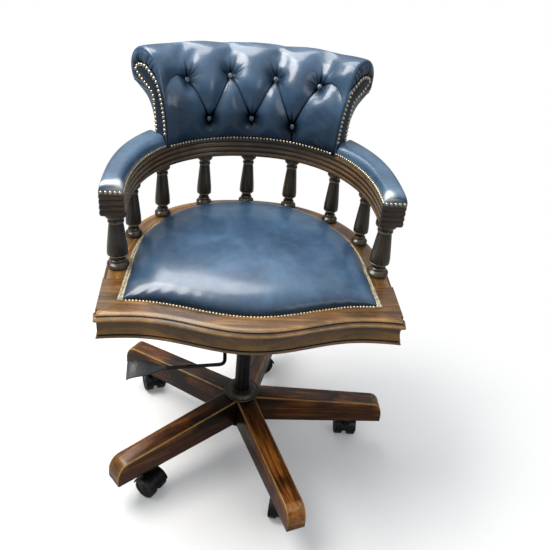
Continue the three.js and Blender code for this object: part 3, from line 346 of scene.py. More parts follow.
def loft(rings, caps=True):
    """A body through rings of equally many corners, closed at both ends: corners and faces."""
    rings = np.asarray(rings, float)
    count, corners = rings.shape[:2]
    faces = grid_faces(count, corners)
    if caps:
        faces.append(list(range(corners))[::-1])
        faces.append(list(range((count - 1) * corners, count * corners)))
    return rings.reshape(-1, 3), faces


def merged(*parts):
    """Several lots of corners and faces as one."""
    verts, faces, start = [], [], 0
    for some, their in parts:
        verts.append(np.asarray(some, float))
        faces += [[i + start for i in face] for face in their]
        start += len(some)
    return np.vstack(verts), faces


def turned(profile, segments=48):
    """A body turned about Z from [radius, height] points that start and end on the axis, or close."""
    profile = np.asarray(profile, float)
    angle = np.linspace(0, 2 * np.pi, segments, endpoint=False)
    closed = profile[0, 0] > 0
    inner = profile if closed else profile[1:-1]
    verts = np.stack([inner[:, :1] * np.cos(angle), inner[:, :1] * np.sin(angle),
                      np.repeat(inner[:, 1:], segments, 1)], -1).reshape(-1, 3)
    faces = grid_faces(len(inner), segments)
    last = (len(inner) - 1) * segments
    around = [(i, (i + 1) % segments) for i in range(segments)]
    if closed:
        faces += [[last + i, last + j, j, i] for i, j in around]
    else:
        low = len(verts)
        verts = np.vstack([verts, [[0, 0, profile[0, 1]], [0, 0, profile[-1, 1]]]])
        faces += [[j, i, low] for i, j in around] + [[last + i, last + j, low + 1] for i, j in around]
    return verts, faces


def eased(profile, radius, steps=4):
    """A profile with its inner corners rounded by up to that radius."""
    points = np.asarray(profile, float)
    out = [points[0]]
    for before, here, after in zip(points[:-2], points[1:-1], points[2:]):
        one, two = before - here, after - here
        a, b = np.linalg.norm(one), np.linalg.norm(two)
        cut = min(radius, a * 0.45, b * 0.45)
        start, end = here + one / a * cut, here + two / b * cut
        for t in np.linspace(0, 1, steps + 1):
            out.append((1 - t) ** 2 * start + 2 * t * (1 - t) * here + t ** 2 * end)
    out.append(points[-1])
    return np.array(out)


def spun(verts, degrees):
    """Corners turned about Z."""
    a = math.radians(degrees)
    turn = np.array([[math.cos(a), math.sin(a), 0], [-math.sin(a), math.cos(a), 0], [0, 0, 1]])
    return np.asarray(verts, float) @ turn


def distance_along(points):
    """How far along a broken line each of its points lies."""
    step = np.linalg.norm(np.diff(points, axis=0), axis=1)
    return np.concatenate([[0], np.cumsum(step)])


def even(points, count):
    """Points spaced evenly along a line."""
    points = np.asarray(points, float)
    along = distance_along(points)
    wanted = np.linspace(0, along[-1], count)
    return np.stack([np.interp(wanted, along, line) for line in points.T], 1)


def evenly(path, spacing):
    """Points along a path at about that spacing, with the path's direction at each."""
    points = even(path, max(2, round(distance_along(path)[-1] / spacing)))
    return points, unit(np.gradient(points, axis=0))


def horseshoe(half, back, power=2.25, front=0.0, count=241):
    """A bow open to the front, from its right end round the back to its left end."""
    turn = sweep(0, 90, 721)
    x, y = half * np.cos(turn) ** (2 / power), back * np.sin(turn) ** (2 / power)
    right = np.vstack([[half, front], np.c_[x, y][y > front]])
    right[-1, 0] = 0
    return even(np.vstack([right, right[-2::-1] * [-1, 1]]), count)


def grown(loop, distances):
    """A closed outline with its corners moved out by a distance, or each by its own, mitred."""
    loop = np.asarray(loop, float)
    after = np.roll(loop, -1, 0)
    one, two = unit(loop - np.roll(loop, 1, 0)), unit(after - loop)
    side = 1 if np.sum(loop[:, 0] * after[:, 1] - after[:, 0] * loop[:, 1]) > 0 else -1
    out = unit(np.c_[one[:, 1] + two[:, 1], -(one[:, 0] + two[:, 0])] * side)
    first = np.c_[one[:, 1], -one[:, 0]] * side
    mitre = 1 / np.maximum(math.sqrt(0.5), np.sum(out * first, 1))
    return loop + out * (np.asarray(distances) * mitre)[:, None]


def ladder(outer, inner, levels, weights=(1.0, 1.0), corner=None, square=False):
    """A body between two plan lines that run side by side. Levels are [height, distance out, tone] from the
    top down; the weights say how much of the distance the outer and the inner line take. With a corner, the
    outer line turns a right angle at that x. With square, the outer line's ends move only across it."""
    count = len(outer)
    loop = np.vstack([outer, inner[::-1]])
    size = len(loop)
    weight = np.concatenate([np.broadcast_to(share, count) for share in weights])
    rings, tones, across = [], [], []
    for z, out, tone in levels:
        plan = grown(loop, weight * out)
        if corner:
            moved = weight > 0
            plan[moved, 0] = np.clip(plan[moved, 0], -corner - out, corner + out)
            # The corner's tip is worn blunt.
            past = np.abs(plan[:, 0]) - corner + outer[3, 1] - plan[:, 1] - min(2 * out, 0.9 * out)
            past = np.maximum(past, 0) / 2
            plan += np.c_[-np.sign(plan[:, 0]) * past, past]
        if square:
            plan[[0, count - 1]] = outer[[0, -1]] + [[out, 0], [-out, 0]]
        rings.append(raised(plan, z))
        tones.append(tone * (weight > 0))
    verts, faces = loft(rings, caps=False)
    for base in (0, (len(rings) - 1) * size):
        end = base + size - 1
        faces += [[base + i, base + i + 1, end - 1 - i, end - i] for i in range(count - 1)]
    # The grain runs along the lines; down the moulding, its second coordinate is the way gone.
    for run in distance_along(np.array(levels, float)[:, :2]):
        across.append(np.repeat([run, -60 - run], count))
    along = distance_along((outer + inner) / 2)
    along = np.tile(np.concatenate([along, along[::-1]]), len(rings))
    return verts, faces, np.concatenate(tones), np.c_[along, np.concatenate(across), np.zeros(len(verts))]


# Back's geometry, which the pads and facings share ------------------------------------------------

def front_radius(z):
    """Radius of the back's front face at a height."""
    rise = np.clip((np.asarray(z, float) - FOOT) / (SCROLL_Z - FOOT), 0, 1)
    return BACK_INNER + (SCROLL_OUT - SCROLL_R - BACK_INNER) * rise ** 2.5


def end_bearing(radius, drawn):
    """Bearing at which a radius meets the back's flat end, drawn in by a distance."""
    towards = BACK_CENTRE_Y * math.sin(math.radians(END_TURN)) - drawn
    return END_TURN + np.degrees(np.arcsin(towards / np.asarray(radius, float)))


def round_back(radius, bearing, z):
    """Places round the back's centre, at a bearing from straight back towards +X."""
    turn = np.radians(bearing)
    return np.stack(np.broadcast_arrays(radius * np.sin(turn), BACK_CENTRE_Y + radius * np.cos(turn), z), -1)


def end_normal(side):
    """Out of the back's flat end, the right one for 1 and the left one for -1."""
    turn = math.radians(END_TURN)
    return np.array([side * math.cos(turn), -math.sin(turn), 0])


# Base --------------------------------------------------------------------------------------------

def make_legs():
    hub, reach, nose = 31.9, 346, 27            # where an arm starts and ends, and its rounded end
    hub_top, tip_top, hub_bottom, tip_bottom = 151.4, 129.5, 77.7, 71
    hub_width, tip_width = 46, 42
    straight = reach - nose
    stations = [(x, hub_top + (tip_top - hub_top) * (x - hub) / (straight - hub))
                for x in (hub, *np.linspace(44, straight, 12))]
    front = tip_bottom + (tip_top - tip_bottom) * 0.36      # height at which the nose reaches furthest
    for turn in sweep(0, 90, 11)[1:]:
        stations.append((straight + nose * math.sin(turn), front + (tip_top - front) * math.cos(turn)))
    rings, tones = [], []
    for x, top in stations:
        half = (hub_width + (tip_width - hub_width) * x / reach) / 2
        bottom = hub_bottom + (tip_bottom - hub_bottom) * x / reach
        ring, tone = [], []
        for side, start in ((1, 0), (-1, 90), (-1, 180), (1, 270)):
            r, edge = (4.2, top - 4.2) if start < 180 else (1.6, bottom + 1.6)
            for a in np.linspace(0, 90, 6):
                turn = math.radians(start + a)
                ring.append((x, side * (half - r) + r * math.cos(turn), edge + r * math.sin(turn)))
                # Pale along the rounded top edges; painted shade along the bottom ones.
                tone.append(0.75 * max(0.0, 1 - abs(a - 45) / 40) if start < 180 else -0.45)
        ring, tone = np.array(ring), np.array(tone)
        # The rounded nose is a little paler, except at its lowest edge.
        if x > straight:
            tone = tone + 0.15 * (ring[:, 2] > bottom + 5)
        rings.append(ring)
        tones.append(tone)
    verts, faces = loft(rings)
    for number in range(5):
        piece(f"leg_{number + 1}_wood", spun(verts, LEG_FIRST + 72 * number), faces, "base", "leg_wood",
              LEG_WOOD, [f"leg_{number + 1}"], np.concatenate(tones), verts + [number * 977, number * 31, 0])


def make_column():
    sleeve = [[17.5, 73], [42, 73], [42, 77], [21.1, 77], [21.1, 158.9], [17.5, 158.9], [17.5, 73]]
    piece("hub_sleeve_steel", *turned(eased(sleeve, 0.8)), "base", "black_steel", BLACK_STEEL, ["hub_sleeve"])
    cover = eased([[21.6, 151.7], [40.4, 151.7], [42.3, 153.8], [40.6, 156], [37, 155.6], [35.6, 157.2],
                   [31, 162.5], [24, 165.6], [17.6, 166.7], [17.6, 159.4], [21.6, 159.4], [21.6, 151.7]], 1.2)
    piece("hub_cover_bronze", *turned(cover), "base", "bronze", BRONZE, ["hub_cover"])
    tube = eased([[0, 75], [17.2, 75], [17.2, 298.6], [15.8, 300], [11.6, 300], [11.6, 110], [0, 110]], 0.6)
    piece("column_tube_steel", *turned(tube), "base", "black_steel", BLACK_STEEL, ["column_tube"])
    piston = eased([[0, 110.4], [11, 110.4], [11, 422.4], [0, 422.4]], 0.6)
    piece("gas_piston_steel", *turned(piston), "lift", "steel", STEEL, ["gas_piston"])


def rounded_bar(half_width, half_height, radius, steps=3):
    """Outline of a bar with rounded corners, as [across, up] points."""
    points = []
    for cx, cy, start in ((1, 1, 0), (-1, 1, 90), (-1, -1, 180), (1, -1, 270)):
        for a in sweep(start, start + 90, steps + 1):
            points.append((cx * (half_width - radius) + radius * math.cos(a),
                           cy * (half_height - radius) + radius * math.sin(a)))
    return np.array(points)


def caster_parts():
    """A caster's hood and one wheel, about the stem's axis, trailing towards +X."""
    hood_radius = 27.9
    side, out = rounded_bar(26, 1.3, 1.1).T
    out = out + hood_radius
    shell = [np.c_[CASTER_TRAIL + out * math.cos(t), side, WHEEL + out * math.sin(t)]
             for t in sweep(18, 172, 29)]
    arc = [(hood_radius * math.cos(t), hood_radius * math.sin(t)) for t in sweep(18, 172, 25)]
    web = np.array([(-12.5, -8.3), (12.5, -8.3), *arc]) + [CASTER_TRAIL, WHEEL]
    plate = loft([raised(web, y)[:, [0, 2, 1]] for y in (-5.4, 5.4)])
    stem = turned(eased([[0, 44.8], [11, 44.8], [11, 71.9], [5.5, 71.9], [5.5, 106], [0, 106]], 1.2), 24)
    axle = turned(eased([[0, -26], [3.5, -26], [3.5, 26], [0, 26]], 0.6), 20)
    axle = (axle[0][:, [0, 2, 1]] + [CASTER_TRAIL, 0, WHEEL], axle[1])
    half, edge = 10, 3                          # the wheel's half width and the tread's rounding
    hub = [[3.9, -half], [9, -half], [10, -half + 0.8], [21, -half + 0.8], [22, -half]]
    tread = [[WHEEL - edge + edge * math.sin(t), -half + edge - edge * math.cos(t)] for t in sweep(0, 90, 6)]
    tread += [[WHEEL - edge + edge * math.cos(t), half - edge + edge * math.sin(t)] for t in sweep(0, 90, 6)]
    dish = [[20.4, half], [19, half - 2], [9, half - 2.6], [8, half - 1], [3.9, half - 1], [3.9, -half]]
    wheel = turned(hub + tread + dish)
    return merged(loft(shell), plate, stem, axle), (wheel[0][:, [0, 2, 1]], wheel[1])


def make_casters():
    hood, wheel = caster_parts()
    for number, heading in enumerate(CASTER_HEADINGS, 1):
        angle = math.radians(LEG_FIRST + 72 * (number - 1))
        stem = np.array([CASTER_RING * math.cos(angle), CASTER_RING * math.sin(angle), 0])
        name = f"caster_{number}"
        piece(f"{name}_frame", spun(hood[0], heading) + stem, hood[1], name, "black_steel", BLACK_STEEL,
              [f"{name}_hood"], sharp=30)
        for letter, side in (("a", 1), ("b", -1)):
            verts = wheel[0] * [1, side, 1] + [CASTER_TRAIL, side * 16, WHEEL]
            piece(f"{name}_tyre_{letter}", spun(verts, heading) + stem, wheel[1], f"{name}_{letter}",
                  "black_plastic", BLACK_PLASTIC, [f"{name}_wheel_{letter}"])


# Seat --------------------------------------------------------------------------------------------

def front_edge(x):
    """The serpentine front edge of the seat."""
    away = np.abs(np.asarray(x, float))
    bend = 230                                  # where the bow ends and the corner begins
    bow = -162 - 44 * np.cos(np.pi / 2 * np.minimum(away / bend, 1)) ** 2
    return bow - 5 * (np.maximum(away - bend, 0) / (FRONT_HALF - bend)) ** 2


# Seat moulding from the top down: share of the height, projection in shares of 5 mm, tone, which paints shade
# into the grooves and highlights onto the beads and rounded edges.
MOULDING = [
    (-0.0004, -2.9, 0), (0, -2.1, 0.1), (0.012, -1.35, 0.3), (0.03, -0.75, 0.35), (0.055, -0.5, 0.1),
    (0.072, -0.52, -0.6), (0.085, -0.75, -1), (0.1, -0.5, -0.9), (0.112, 0.1, -0.2), (0.135, 0.6, 0.3),
    (0.165, 0.92, 0.55), (0.195, 1, 0.5), (0.225, 0.9, 0.25), (0.252, 0.6, -0.2), (0.272, 0.15, -0.6),
    (0.282, -0.35, -1), (0.3, -0.5, -1), (0.33, -0.72, -0.45), (0.38, -0.93, -0.1), (0.45, -1.02, 0.05),
    (0.53, -1, 0.1), (0.62, -0.88, 0.15), (0.7, -0.7, 0.2), (0.77, -0.48, 0.3), (0.815, -0.34, 0.2),
    (0.835, -0.5, -0.7), (0.85, -0.98, -1), (0.868, -0.98, -1), (0.88, -0.5, -0.7), (0.9, -0.16, 0.1),
    (0.93, -0.02, 0.35), (0.965, -0.1, 0.15), (0.99, -0.35, -0.3), (1, -0.6, -0.4),
]


def seat_levels():
    return [(SEAT_TOP - share * FRAME_HEIGHT, out * 5, tone) for share, out, tone in MOULDING]


def make_seat_frame():
    gap, meet = 0.15, 242.1                     # half the joint's gap, and the frame's inner face there
    outer = horseshoe(HOOP_HALF, HOOP_BACK, front=JOINT_Y + gap)
    bow = horseshoe(OPENING_HALF, OPENING_BACK, count=len(outer) * 2)
    inner = even(np.vstack([[[meet, JOINT_Y + gap]], bow, [[-meet, JOINT_Y + gap]]]), len(outer))
    verts, faces, tone, grain = ladder(outer, inner, seat_levels(), (1.0, 0.0), square=True)
    piece("seat_hoop_wood", verts, faces, "seat", "frame_wood", FRAME_WOOD, ["seat_hoop"], tone, grain)

    x = np.linspace(FRONT_HALF, -FRONT_HALF, 141)
    front = np.c_[x, front_edge(x)]
    end = front[0, 1] + 20
    side = np.array([[FRONT_HALF, JOINT_Y - gap], [FRONT_HALF, end + 0.3], [FRONT_HALF, end]])
    outer = np.vstack([side, front, side[::-1] * [-1, 1]])
    moulded = np.array([0, 0, 1] + [1] * len(front) + [1, 0, 0], float)
    x = np.linspace(OPENING_FRONT_HALF, -OPENING_FRONT_HALF, len(front))
    side = np.array([[meet, JOINT_Y - gap], [242.3, JOINT_Y - 4], [242.6, JOINT_Y - 8]])
    inner = np.vstack([side, np.c_[x, front_edge(x) + 55], side[::-1] * [-1, 1]])
    verts, faces, tone, _ = ladder(outer, inner, seat_levels(), (moulded, 0.0), corner=FRONT_HALF)
    grain = np.c_[verts[:, 0] + 2000, verts[:, 1] - verts[:, 2], np.zeros(len(verts))]
    piece("seat_front_rail_wood", verts, faces, "seat", "frame_wood", FRAME_WOOD, ["seat_front_rail"], tone,
          grain)


def leather_outline(count, out=0.0):
    """Plan outline of the seat's leather, from the right front corner round the back to the left one and
    back along the front, and how many of its points come before the front."""
    corner = np.array([[LEATHER_FRONT_HALF, front_edge(OPENING_FRONT_HALF) + LEATHER_SETBACK]])
    bow = np.vstack([corner, horseshoe(LEATHER_HALF, LEATHER_BACK, count=400), corner * [-1, 1]])
    x = np.linspace(-LEATHER_FRONT_HALF, LEATHER_FRONT_HALF, 160)
    front = np.c_[x, front_edge(x * OPENING_FRONT_HALF / LEATHER_FRONT_HALF) + LEATHER_SETBACK]
    back = even(bow, int(count * 0.66))
    return grown(np.vstack([back, even(front, count - len(back) + 2)[1:-1]]), out), len(back)


def membrane(loop):
    """Height of a sheet stretched over an outline and pushed up evenly from below, as a share of its highest
    point. Returned as a function of places inside the outline."""
    step = 5.0
    low = loop.min(0) - 2 * step
    count = np.ceil((loop.max(0) + 2 * step - low) / step).astype(int) + 1
    px, py = np.meshgrid(*(low[axis] + step * np.arange(count[axis]) for axis in (0, 1)), indexing="ij")
    inside = np.zeros(px.shape, bool)
    for (ax, ay), (bx, by) in zip(loop, np.roll(loop, -1, 0)):
        if ay != by:
            inside ^= ((ay > py) != (by > py)) & (px < (bx - ax) * (py - ay) / (by - ay) + ax)
    height = np.zeros(px.shape)
    for _ in range(3000):
        around = np.zeros(px.shape)
        around[1:-1, 1:-1] = (height[2:, 1:-1] + height[:-2, 1:-1] + height[1:-1, 2:] + height[1:-1, :-2]) / 4
        height = np.where(inside, around + 1, 0)
    height /= height.max()

    def at(places):
        where = (places - low) / step
        corner = np.clip(where.astype(int), 0, count - 2)
        u, v = (where - corner).T
        i, j = corner.T
        return ((1 - u) * (1 - v) * height[i, j] + u * (1 - v) * height[i + 1, j]
                + (1 - u) * v * height[i, j + 1] + u * v * height[i + 1, j + 1])
    return at


def make_seat_cushion():
    loop, back_count = leather_outline(420)
    middle = np.array([0, 63.5])
    lip, foot = SEAT_TOP + 0.3, 457.9
    along = distance_along(loop)
    pucker = np.sin(along / 4.6 + 1.3 * np.sin(along / 29)) * (0.55 + 0.45 * np.sin(along / 61 + 2))
    pucker *= np.where(np.arange(len(loop)) >= back_count, 0.45, 0.25)
    plug = grown(loop, -7.0)
    rings = [raised(plug, foot), raised(plug, lip), raised(loop, lip)]
    # Painted shade on the leather tucked down into the frame.
    tones = [np.full(len(loop), -0.6)] * 3
    crown = membrane(grown(loop, 3.0))
    for share in 1 - np.linspace(0, 1, 72)[:-1] ** 1.7:
        plan = middle + (loop - middle) * share
        rise = 38.5 * np.tanh(2.2 * np.clip(crown(plan), 0, 1) ** 0.75)
        roll = 3.2 * (1 - math.exp(-(1 - share) / 0.012))
        near = smooth(share, 0.82, 0.99) ** 2 * (1 - smooth(share, 0.985, 1.0))
        gather = pucker * near
        sag = 0.8 * np.sin(plan[:, 0] / 61 + 1) * np.sin(plan[:, 1] / 83) * (1 - share ** 2)
        rings.append(raised(plan, lip + roll + rise + gather + sag))
        # Painted highlights on the puckers' crests, painted shade in their hollows and along the edge where
        # the leather meets the frame.
        tones.append(gather * 0.12 * near - 0.55 * math.exp(-(1 - share) / 0.055))
    verts, faces = loft(rings, caps=False)
    faces.append(list(range(len(loop)))[::-1])
    verts = np.vstack([verts, [[*middle, verts[-len(loop):, 2].mean()]]])
    last = (len(rings) - 1) * len(loop)
    faces += [[last + i, last + (i + 1) % len(loop), len(verts) - 1] for i in range(len(loop))]
    made = piece("seat_cushion_leather", verts, faces, "seat", "leather", LEATHER, ["seat_cushion"],
                 np.append(np.concatenate(tones), 0), sharp=60)


# Nails and braid ---------------------------------------------------------------------------------

def dome(radius, height, sides=10, rings=3):
    """A nail's head, its base in the plane Z = 0."""
    verts = [[0, 0, height]]
    for t in np.linspace(0, math.pi / 2, rings + 1)[1:]:
        out, up = radius * math.sin(t), height * math.cos(t)
        verts += [[out * math.cos(a), out * math.sin(a), up]
                  for a in np.linspace(0, 2 * math.pi, sides, endpoint=False)]
    faces = [[0, 1 + i, 1 + (i + 1) % sides] for i in range(sides)]
    faces += grid_faces(rings, sides, 1)
    faces.append([1 + (rings - 1) * sides + i for i in range(sides)][::-1])
    return np.array(verts), faces


def nails(name, places, normals, radius, height):
    """A row of domed nails, each on its place and facing along its normal, or all along one."""
    shape, faces = dome(radius, height)
    parts = []
    for place, normal in zip(places, np.broadcast_to(normals, places.shape)):
        lean = normal + rng.normal(0, 0.05, 3)
        turn = Vector(lean).to_track_quat("Z", "Y").to_matrix()
        parts.append((shape @ np.array(turn).T * (1 + rng.normal(0, 0.03)) + place, faces))
    piece(name, *merged(*parts), "seat", None, BRASS, sharp=60)


def make_seat_trim():
    loop, back_count = leather_outline(600)
    points, _ = evenly(np.vstack([loop[back_count - 1:], loop[:1]]) + [0, -2.5], 6.6)
    nails("seat_front_nails", raised(points[1:-1], SEAT_TOP), [0, -0.25, 1.0], 2.9, 2.4)

    # The braid: a flat strip with two rows of slanting lobes.
    wide, count = leather_outline(600, 4.6)
    path, direction = evenly(wide[:count], 3.9)
    side = np.c_[direction[:, 1], -direction[:, 0]]
    strip = rounded_bar(6.2, 0.8, 0.7, 2)
    parts = [loft([np.c_[p + s * strip[:, :1], SEAT_TOP + 1.1 + strip[:, 1]] for p, s in zip(path, side)])]
    shape, lobe_faces = dome(1.0, 1.0, 8, 3)
    lobe = shape * [4.0, 1.6, 1.9]
    for p, d, s in zip(path[1:-1], direction[1:-1], side[1:-1]):
        for hand in (1, -1):
            slant = d * 0.72 + s * hand * 0.69
            cross = np.array([-slant[1], slant[0]])
            plan = lobe[:, :1] * slant + lobe[:, 1:2] * cross + p + s * hand * 3.1
            parts.append((np.c_[plan, SEAT_TOP + 1.7 + lobe[:, 2]], lobe_faces))
    verts, faces = merged(*parts)
    # Painted shade on the flat strip under and between the lobes.
    tone = np.where(verts[:, 2] < SEAT_TOP + 2.3, -0.7, 0.2)
    piece("seat_braid", verts, faces, "seat", None, BRAID, tone=tone, sharp=60)


# Spindles and rail -------------------------------------------------------------------------------

# Share of the turned length, share of the widest radius, tone: painted shade in the grooves and painted
# highlights on the fillets and beads.
SPINDLE = [
    (0, 0.9, -0.5), (0.008, 0.98, 0), (0.03, 1, 0.15), (0.052, 0.985, 0.1), (0.064, 0.93, -0.2),
    (0.075, 0.84, -0.1), (0.088, 0.73, 0.25), (0.1, 0.675, 0.3), (0.11, 0.66, -0.6), (0.118, 0.69, 0.2),
    (0.13, 0.69, 0.3), (0.138, 0.63, -0.5), (0.15, 0.575, -0.4), (0.165, 0.56, -0.2), (0.18, 0.585, 0),
    (0.198, 0.66, 0), (0.214, 0.78, 0), (0.228, 0.88, 0.1), (0.236, 0.92, 1), (0.246, 0.93, 1),
    (0.252, 0.9, -0.6), (0.262, 0.925, -0.2), (0.3, 0.925, 0), (0.38, 0.895, 0), (0.5, 0.82, 0.05),
    (0.62, 0.745, 0.05), (0.72, 0.68, 0), (0.785, 0.63, 0), (0.796, 0.62, -0.6), (0.806, 0.685, 0.2),
    (0.822, 0.72, 0.6), (0.838, 0.705, 0.4), (0.85, 0.65, -0.6), (0.862, 0.63, -0.3), (0.88, 0.67, 0),
    (0.9, 0.78, 0), (0.92, 0.92, 0.2), (0.935, 0.97, 0.3), (0.985, 0.97, 0), (1, 0.93, -0.4),
]


def spindle_places():
    """The spindles' axes, from the front one at +X round to the front one at -X."""
    line = horseshoe(ARM_HALF, ARM_BACK, front=8, count=1601)
    right = line[[0, 222, 419, 618, 800]]       # 800 is the middle of the back
    return np.vstack([right, right[-2::-1] * [-1, 1]])


def make_spindles():
    segments, stout, slim = 40, 23.4, 18.6      # corners round, and the widest radii
    foot = SEAT_TOP + 0.3
    for number, place in enumerate(spindle_places(), 1):
        widest = stout if number in (1, 9) else slim
        turning = [(widest * out, foot + share * SPINDLE_HEIGHT) for share, out, _ in SPINDLE]
        verts, faces = turned([(0, foot), *turning, (0, foot + SPINDLE_HEIGHT)], segments)
        tone = np.concatenate([np.repeat([tone for *_, tone in SPINDLE], segments), [0, 0]])
        verts = verts + [*place, 0]
        grain = verts[:, [2, 0, 1]] + [number * 400, 0, 0]
        piece(f"spindle_{number}_wood", verts, faces, "seat", "spindle_wood", SPINDLE_WOOD,
              [f"spindle_{number}"], tone, grain, sharp=50)


def rail_bows(inset, front, count):
    """The rail's inner and outer sides, moved into the wood."""
    inner = horseshoe(ARM_HALF - RAIL_IN + inset, ARM_BACK - RAIL_IN + inset, front=front, count=count)
    outer = horseshoe(ARM_HALF + RAIL_OUT - inset, ARM_BACK + RAIL_OUT_BACK - inset, RAIL_POWER, front, count)
    return inner, outer


def rail_lines():
    """The arm rail's outer and inner lines, each from the right arm's end to the left one's, with the corners
    of the ends rounded."""
    corner = 5.0
    inner, outer = rail_bows(0.0, RAIL_FRONT + corner, 261)
    middle = (inner[0, 0] + outer[0, 0]) / 2
    rounded = []
    for line, sign in ((outer, 1), (inner, -1)):
        x = line[0, 0]
        turn = sweep(0, 90, 6)[:-1]
        arc = np.c_[x - sign * corner * (1 - np.sin(turn)), RAIL_FRONT + corner * (1 - np.cos(turn))]
        end = np.vstack([[[middle + sign * 0.4, RAIL_FRONT], [(middle + x) / 2, RAIL_FRONT]], arc])
        rounded.append(np.vstack([end, line, end[::-1] * [-1, 1]]))
    return rounded


def make_arm_rail():
    reeds, steps = 4, 10
    levels = []
    for across in np.tile((np.arange(steps) + 0.5) / steps * 2 - 1, reeds):
        cut = 1 - (1 - abs(across) ** 2.6) ** 0.5
        # Painted highlight along each reed's upper crest, painted shade in the grooves between the reeds.
        tone = 0.75 * (1 - abs(across + 0.2) ** 1.2) - 0.2 if abs(across) < 0.82 else -1
        z = RAIL_TOP - (RAIL_TOP - RAIL_BOTTOM) * (len(levels) + 0.5) / (reeds * steps)
        levels.append((z, -0.3 - 3.1 * cut, tone))
    # The top edge is a little paler and the bottom edge has painted shade.
    levels[0] = (RAIL_TOP, -2.2, 0.2)
    levels[-1] = (RAIL_BOTTOM, -2.4, -0.5)
    outer, inner = rail_lines()
    verts, faces, tone, grain = ladder(outer, inner, levels)
    tone = tone - 0.5 * smooth(-verts[:, 1], 4, 17)     # the front ends are darker, almost black
    piece("arm_rail_wood", verts, faces, "seat", "rail_wood", RAIL_WOOD, ["arm_rail"], tone, grain, sharp=50)


# Arm pads ----------------------------------------------------------------------------------------

def make_arm_pads():
    front, nose, rows = RAIL_FRONT + PAD_INSET, 15.0, 90
    inner, outer = rail_bows(PAD_INSET, front, 601)
    across = np.concatenate([[0], 1 - np.cos(np.pi * np.linspace(0.02, 0.98, 33)), [2]]) / 2
    edge = np.abs(2 * across - 1)

    def up_to_back(line):
        """A line cut 0.9 short of the back's end, at even shares of its corners."""
        level = line @ end_normal(1)[:2] - 0.9
        last = int(np.argmax(level < 0))
        end = last - 1 + level[last - 1] / (level[last - 1] - level[last])
        where, index = np.linspace(0, 1, rows) * end, np.arange(len(line))
        return np.c_[np.interp(where, index, line[:, 0]), np.interp(where, index, line[:, 1])]

    inside, outside = up_to_back(inner), up_to_back(outer)
    along = distance_along((inside + outside) / 2)
    rings, tones = [], []

    def add_ring(i, lift, back, worn, shade):
        plan = inside[i] + (outside[i] - inside[i]) * across[:, None] + [0, back]
        height = (9 + 17 * np.maximum(0, 1 - edge ** 4) ** 0.6) * lift
        if 0 < i < rows - 1:
            height = height + 0.5 * np.sin(along[i] / 23 + across * 2) * (1 - edge ** 2)
        low = raised(plan[[0, -1]], FOOT)
        # Pale where the side edges are rubbed; painted shade on the very edges and at the foot, where the pad
        # meets the rail.
        tone = np.where(edge > 0.93, worn, worn * 0.15) - 0.3 * (edge > 0.999)
        uneven = 0.75 + 0.25 * np.sin(along[i] / 14 + 4 * across)
        # Painted shade over the inner side, towards the seat.
        tone = tone - 0.4 * smooth(1 - 2 * across, 0.25, 0.9) * uneven
        rings.append(np.vstack([low[:1], raised(plan, FOOT + height), low[1:]]))
        tones.append(np.concatenate([[-0.5], tone, [-0.5]]) - shade)

    # The nose's front face gets painted shade.
    for t in np.linspace(0, 1, 13):
        lift = 0.66 + 0.34 * math.sqrt(1 - (1 - t) ** 2)
        add_ring(0, lift, nose * t, 0.5, 0.6 * (1 - smooth(t, 0.0, 0.25)))
    for i in range(int(np.argmax(along > nose + 1)), rows):
        add_ring(i, 1.0, 0, 0.5 * math.exp(-(along[i] - nose) / 22), 0)
    verts, faces = loft(rings)
    tone = np.concatenate(tones)
    corner = np.array([inside[0, 0] + 6, -16.0, FOOT + 22])
    ridge = bell(verts[:, 1] + 13.5, 5) * smooth(verts[:, 2], FOOT + 14, FOOT + 22)
    rubbed = bell(np.linalg.norm((verts - corner) / [1, 1.2, 1], axis=1), 11)
    for name, side in SIDES:
        mirror = np.array([side, 1, 1])
        wear = 1.9 * rubbed if side > 0 else np.maximum(1.75 * ridge, 1.6 * rubbed)
        made = piece(f"arm_pad_{name}_leather", verts * mirror, faces, "seat", "leather", PAD_LEATHER,
                     [f"arm_pad_{name}"], np.maximum(tone, wear), sharp=55)
        points, direction = evenly(raised(inside, FOOT + 3.4), 6.4)
        inward = np.c_[-direction[:, 1], direction[:, 0], np.zeros(len(points))]
        nails(f"arm_pad_{name}_nails", (points + inward * 0.2)[1:] * mirror, inward[1:] * mirror, 2.8, 2.2)
        x = np.linspace(inside[0, 0] + 5.5, outside[0, 0] - 5, 5)
        places = raised(np.c_[x * side, np.full(5, front)], FOOT + 4.6)
        nails(f"arm_pad_{name}_front_nails", places, [0, -1.0, 0.05], 4.0, 3.2)


# Back --------------------------------------------------------------------------------------------

# Buttons as [across, up] on the back's front when it is unrolled; they stand 18.8 degrees apart.
UPPER, LOWER = ([(math.radians(step * 18.8) * BACK_INNER, up) for step, up in row] for row in (
    ((-1.5, 811), (-0.51, 816), (0.5, 812), (1.49, 812)), ((-1.08, 721), (0, 720), (1.03, 711))))


def creases():
    """Folds between the buttons as [points, depth at the start and at the end, as shares]."""
    lines = []
    for i, low in enumerate(LOWER):
        lines += [([low, UPPER[i]], (1, 1)), ([low, UPPER[i + 1]], (1, 1))]
        aside, down, end = (5, 34, 0.25) if i == 2 else (0, 22, 0)
        lines.append(([low, (low[0] + aside, low[1] - down)], (0.8, end)))
    lines += [([(x, up), (x + 2, up + 50)], (0.8, 0)) for x, up in UPPER]
    x = UPPER[3][0]
    arc = [(x, 814), (x + 12, 821), (x + 27, 823), (x + 42, 817), (x + 56, 804), (x + 69, 786)]
    return lines + [([(side * a, b) for a, b in arc], (0.9, 0.55)) for side in (-1, 1)]


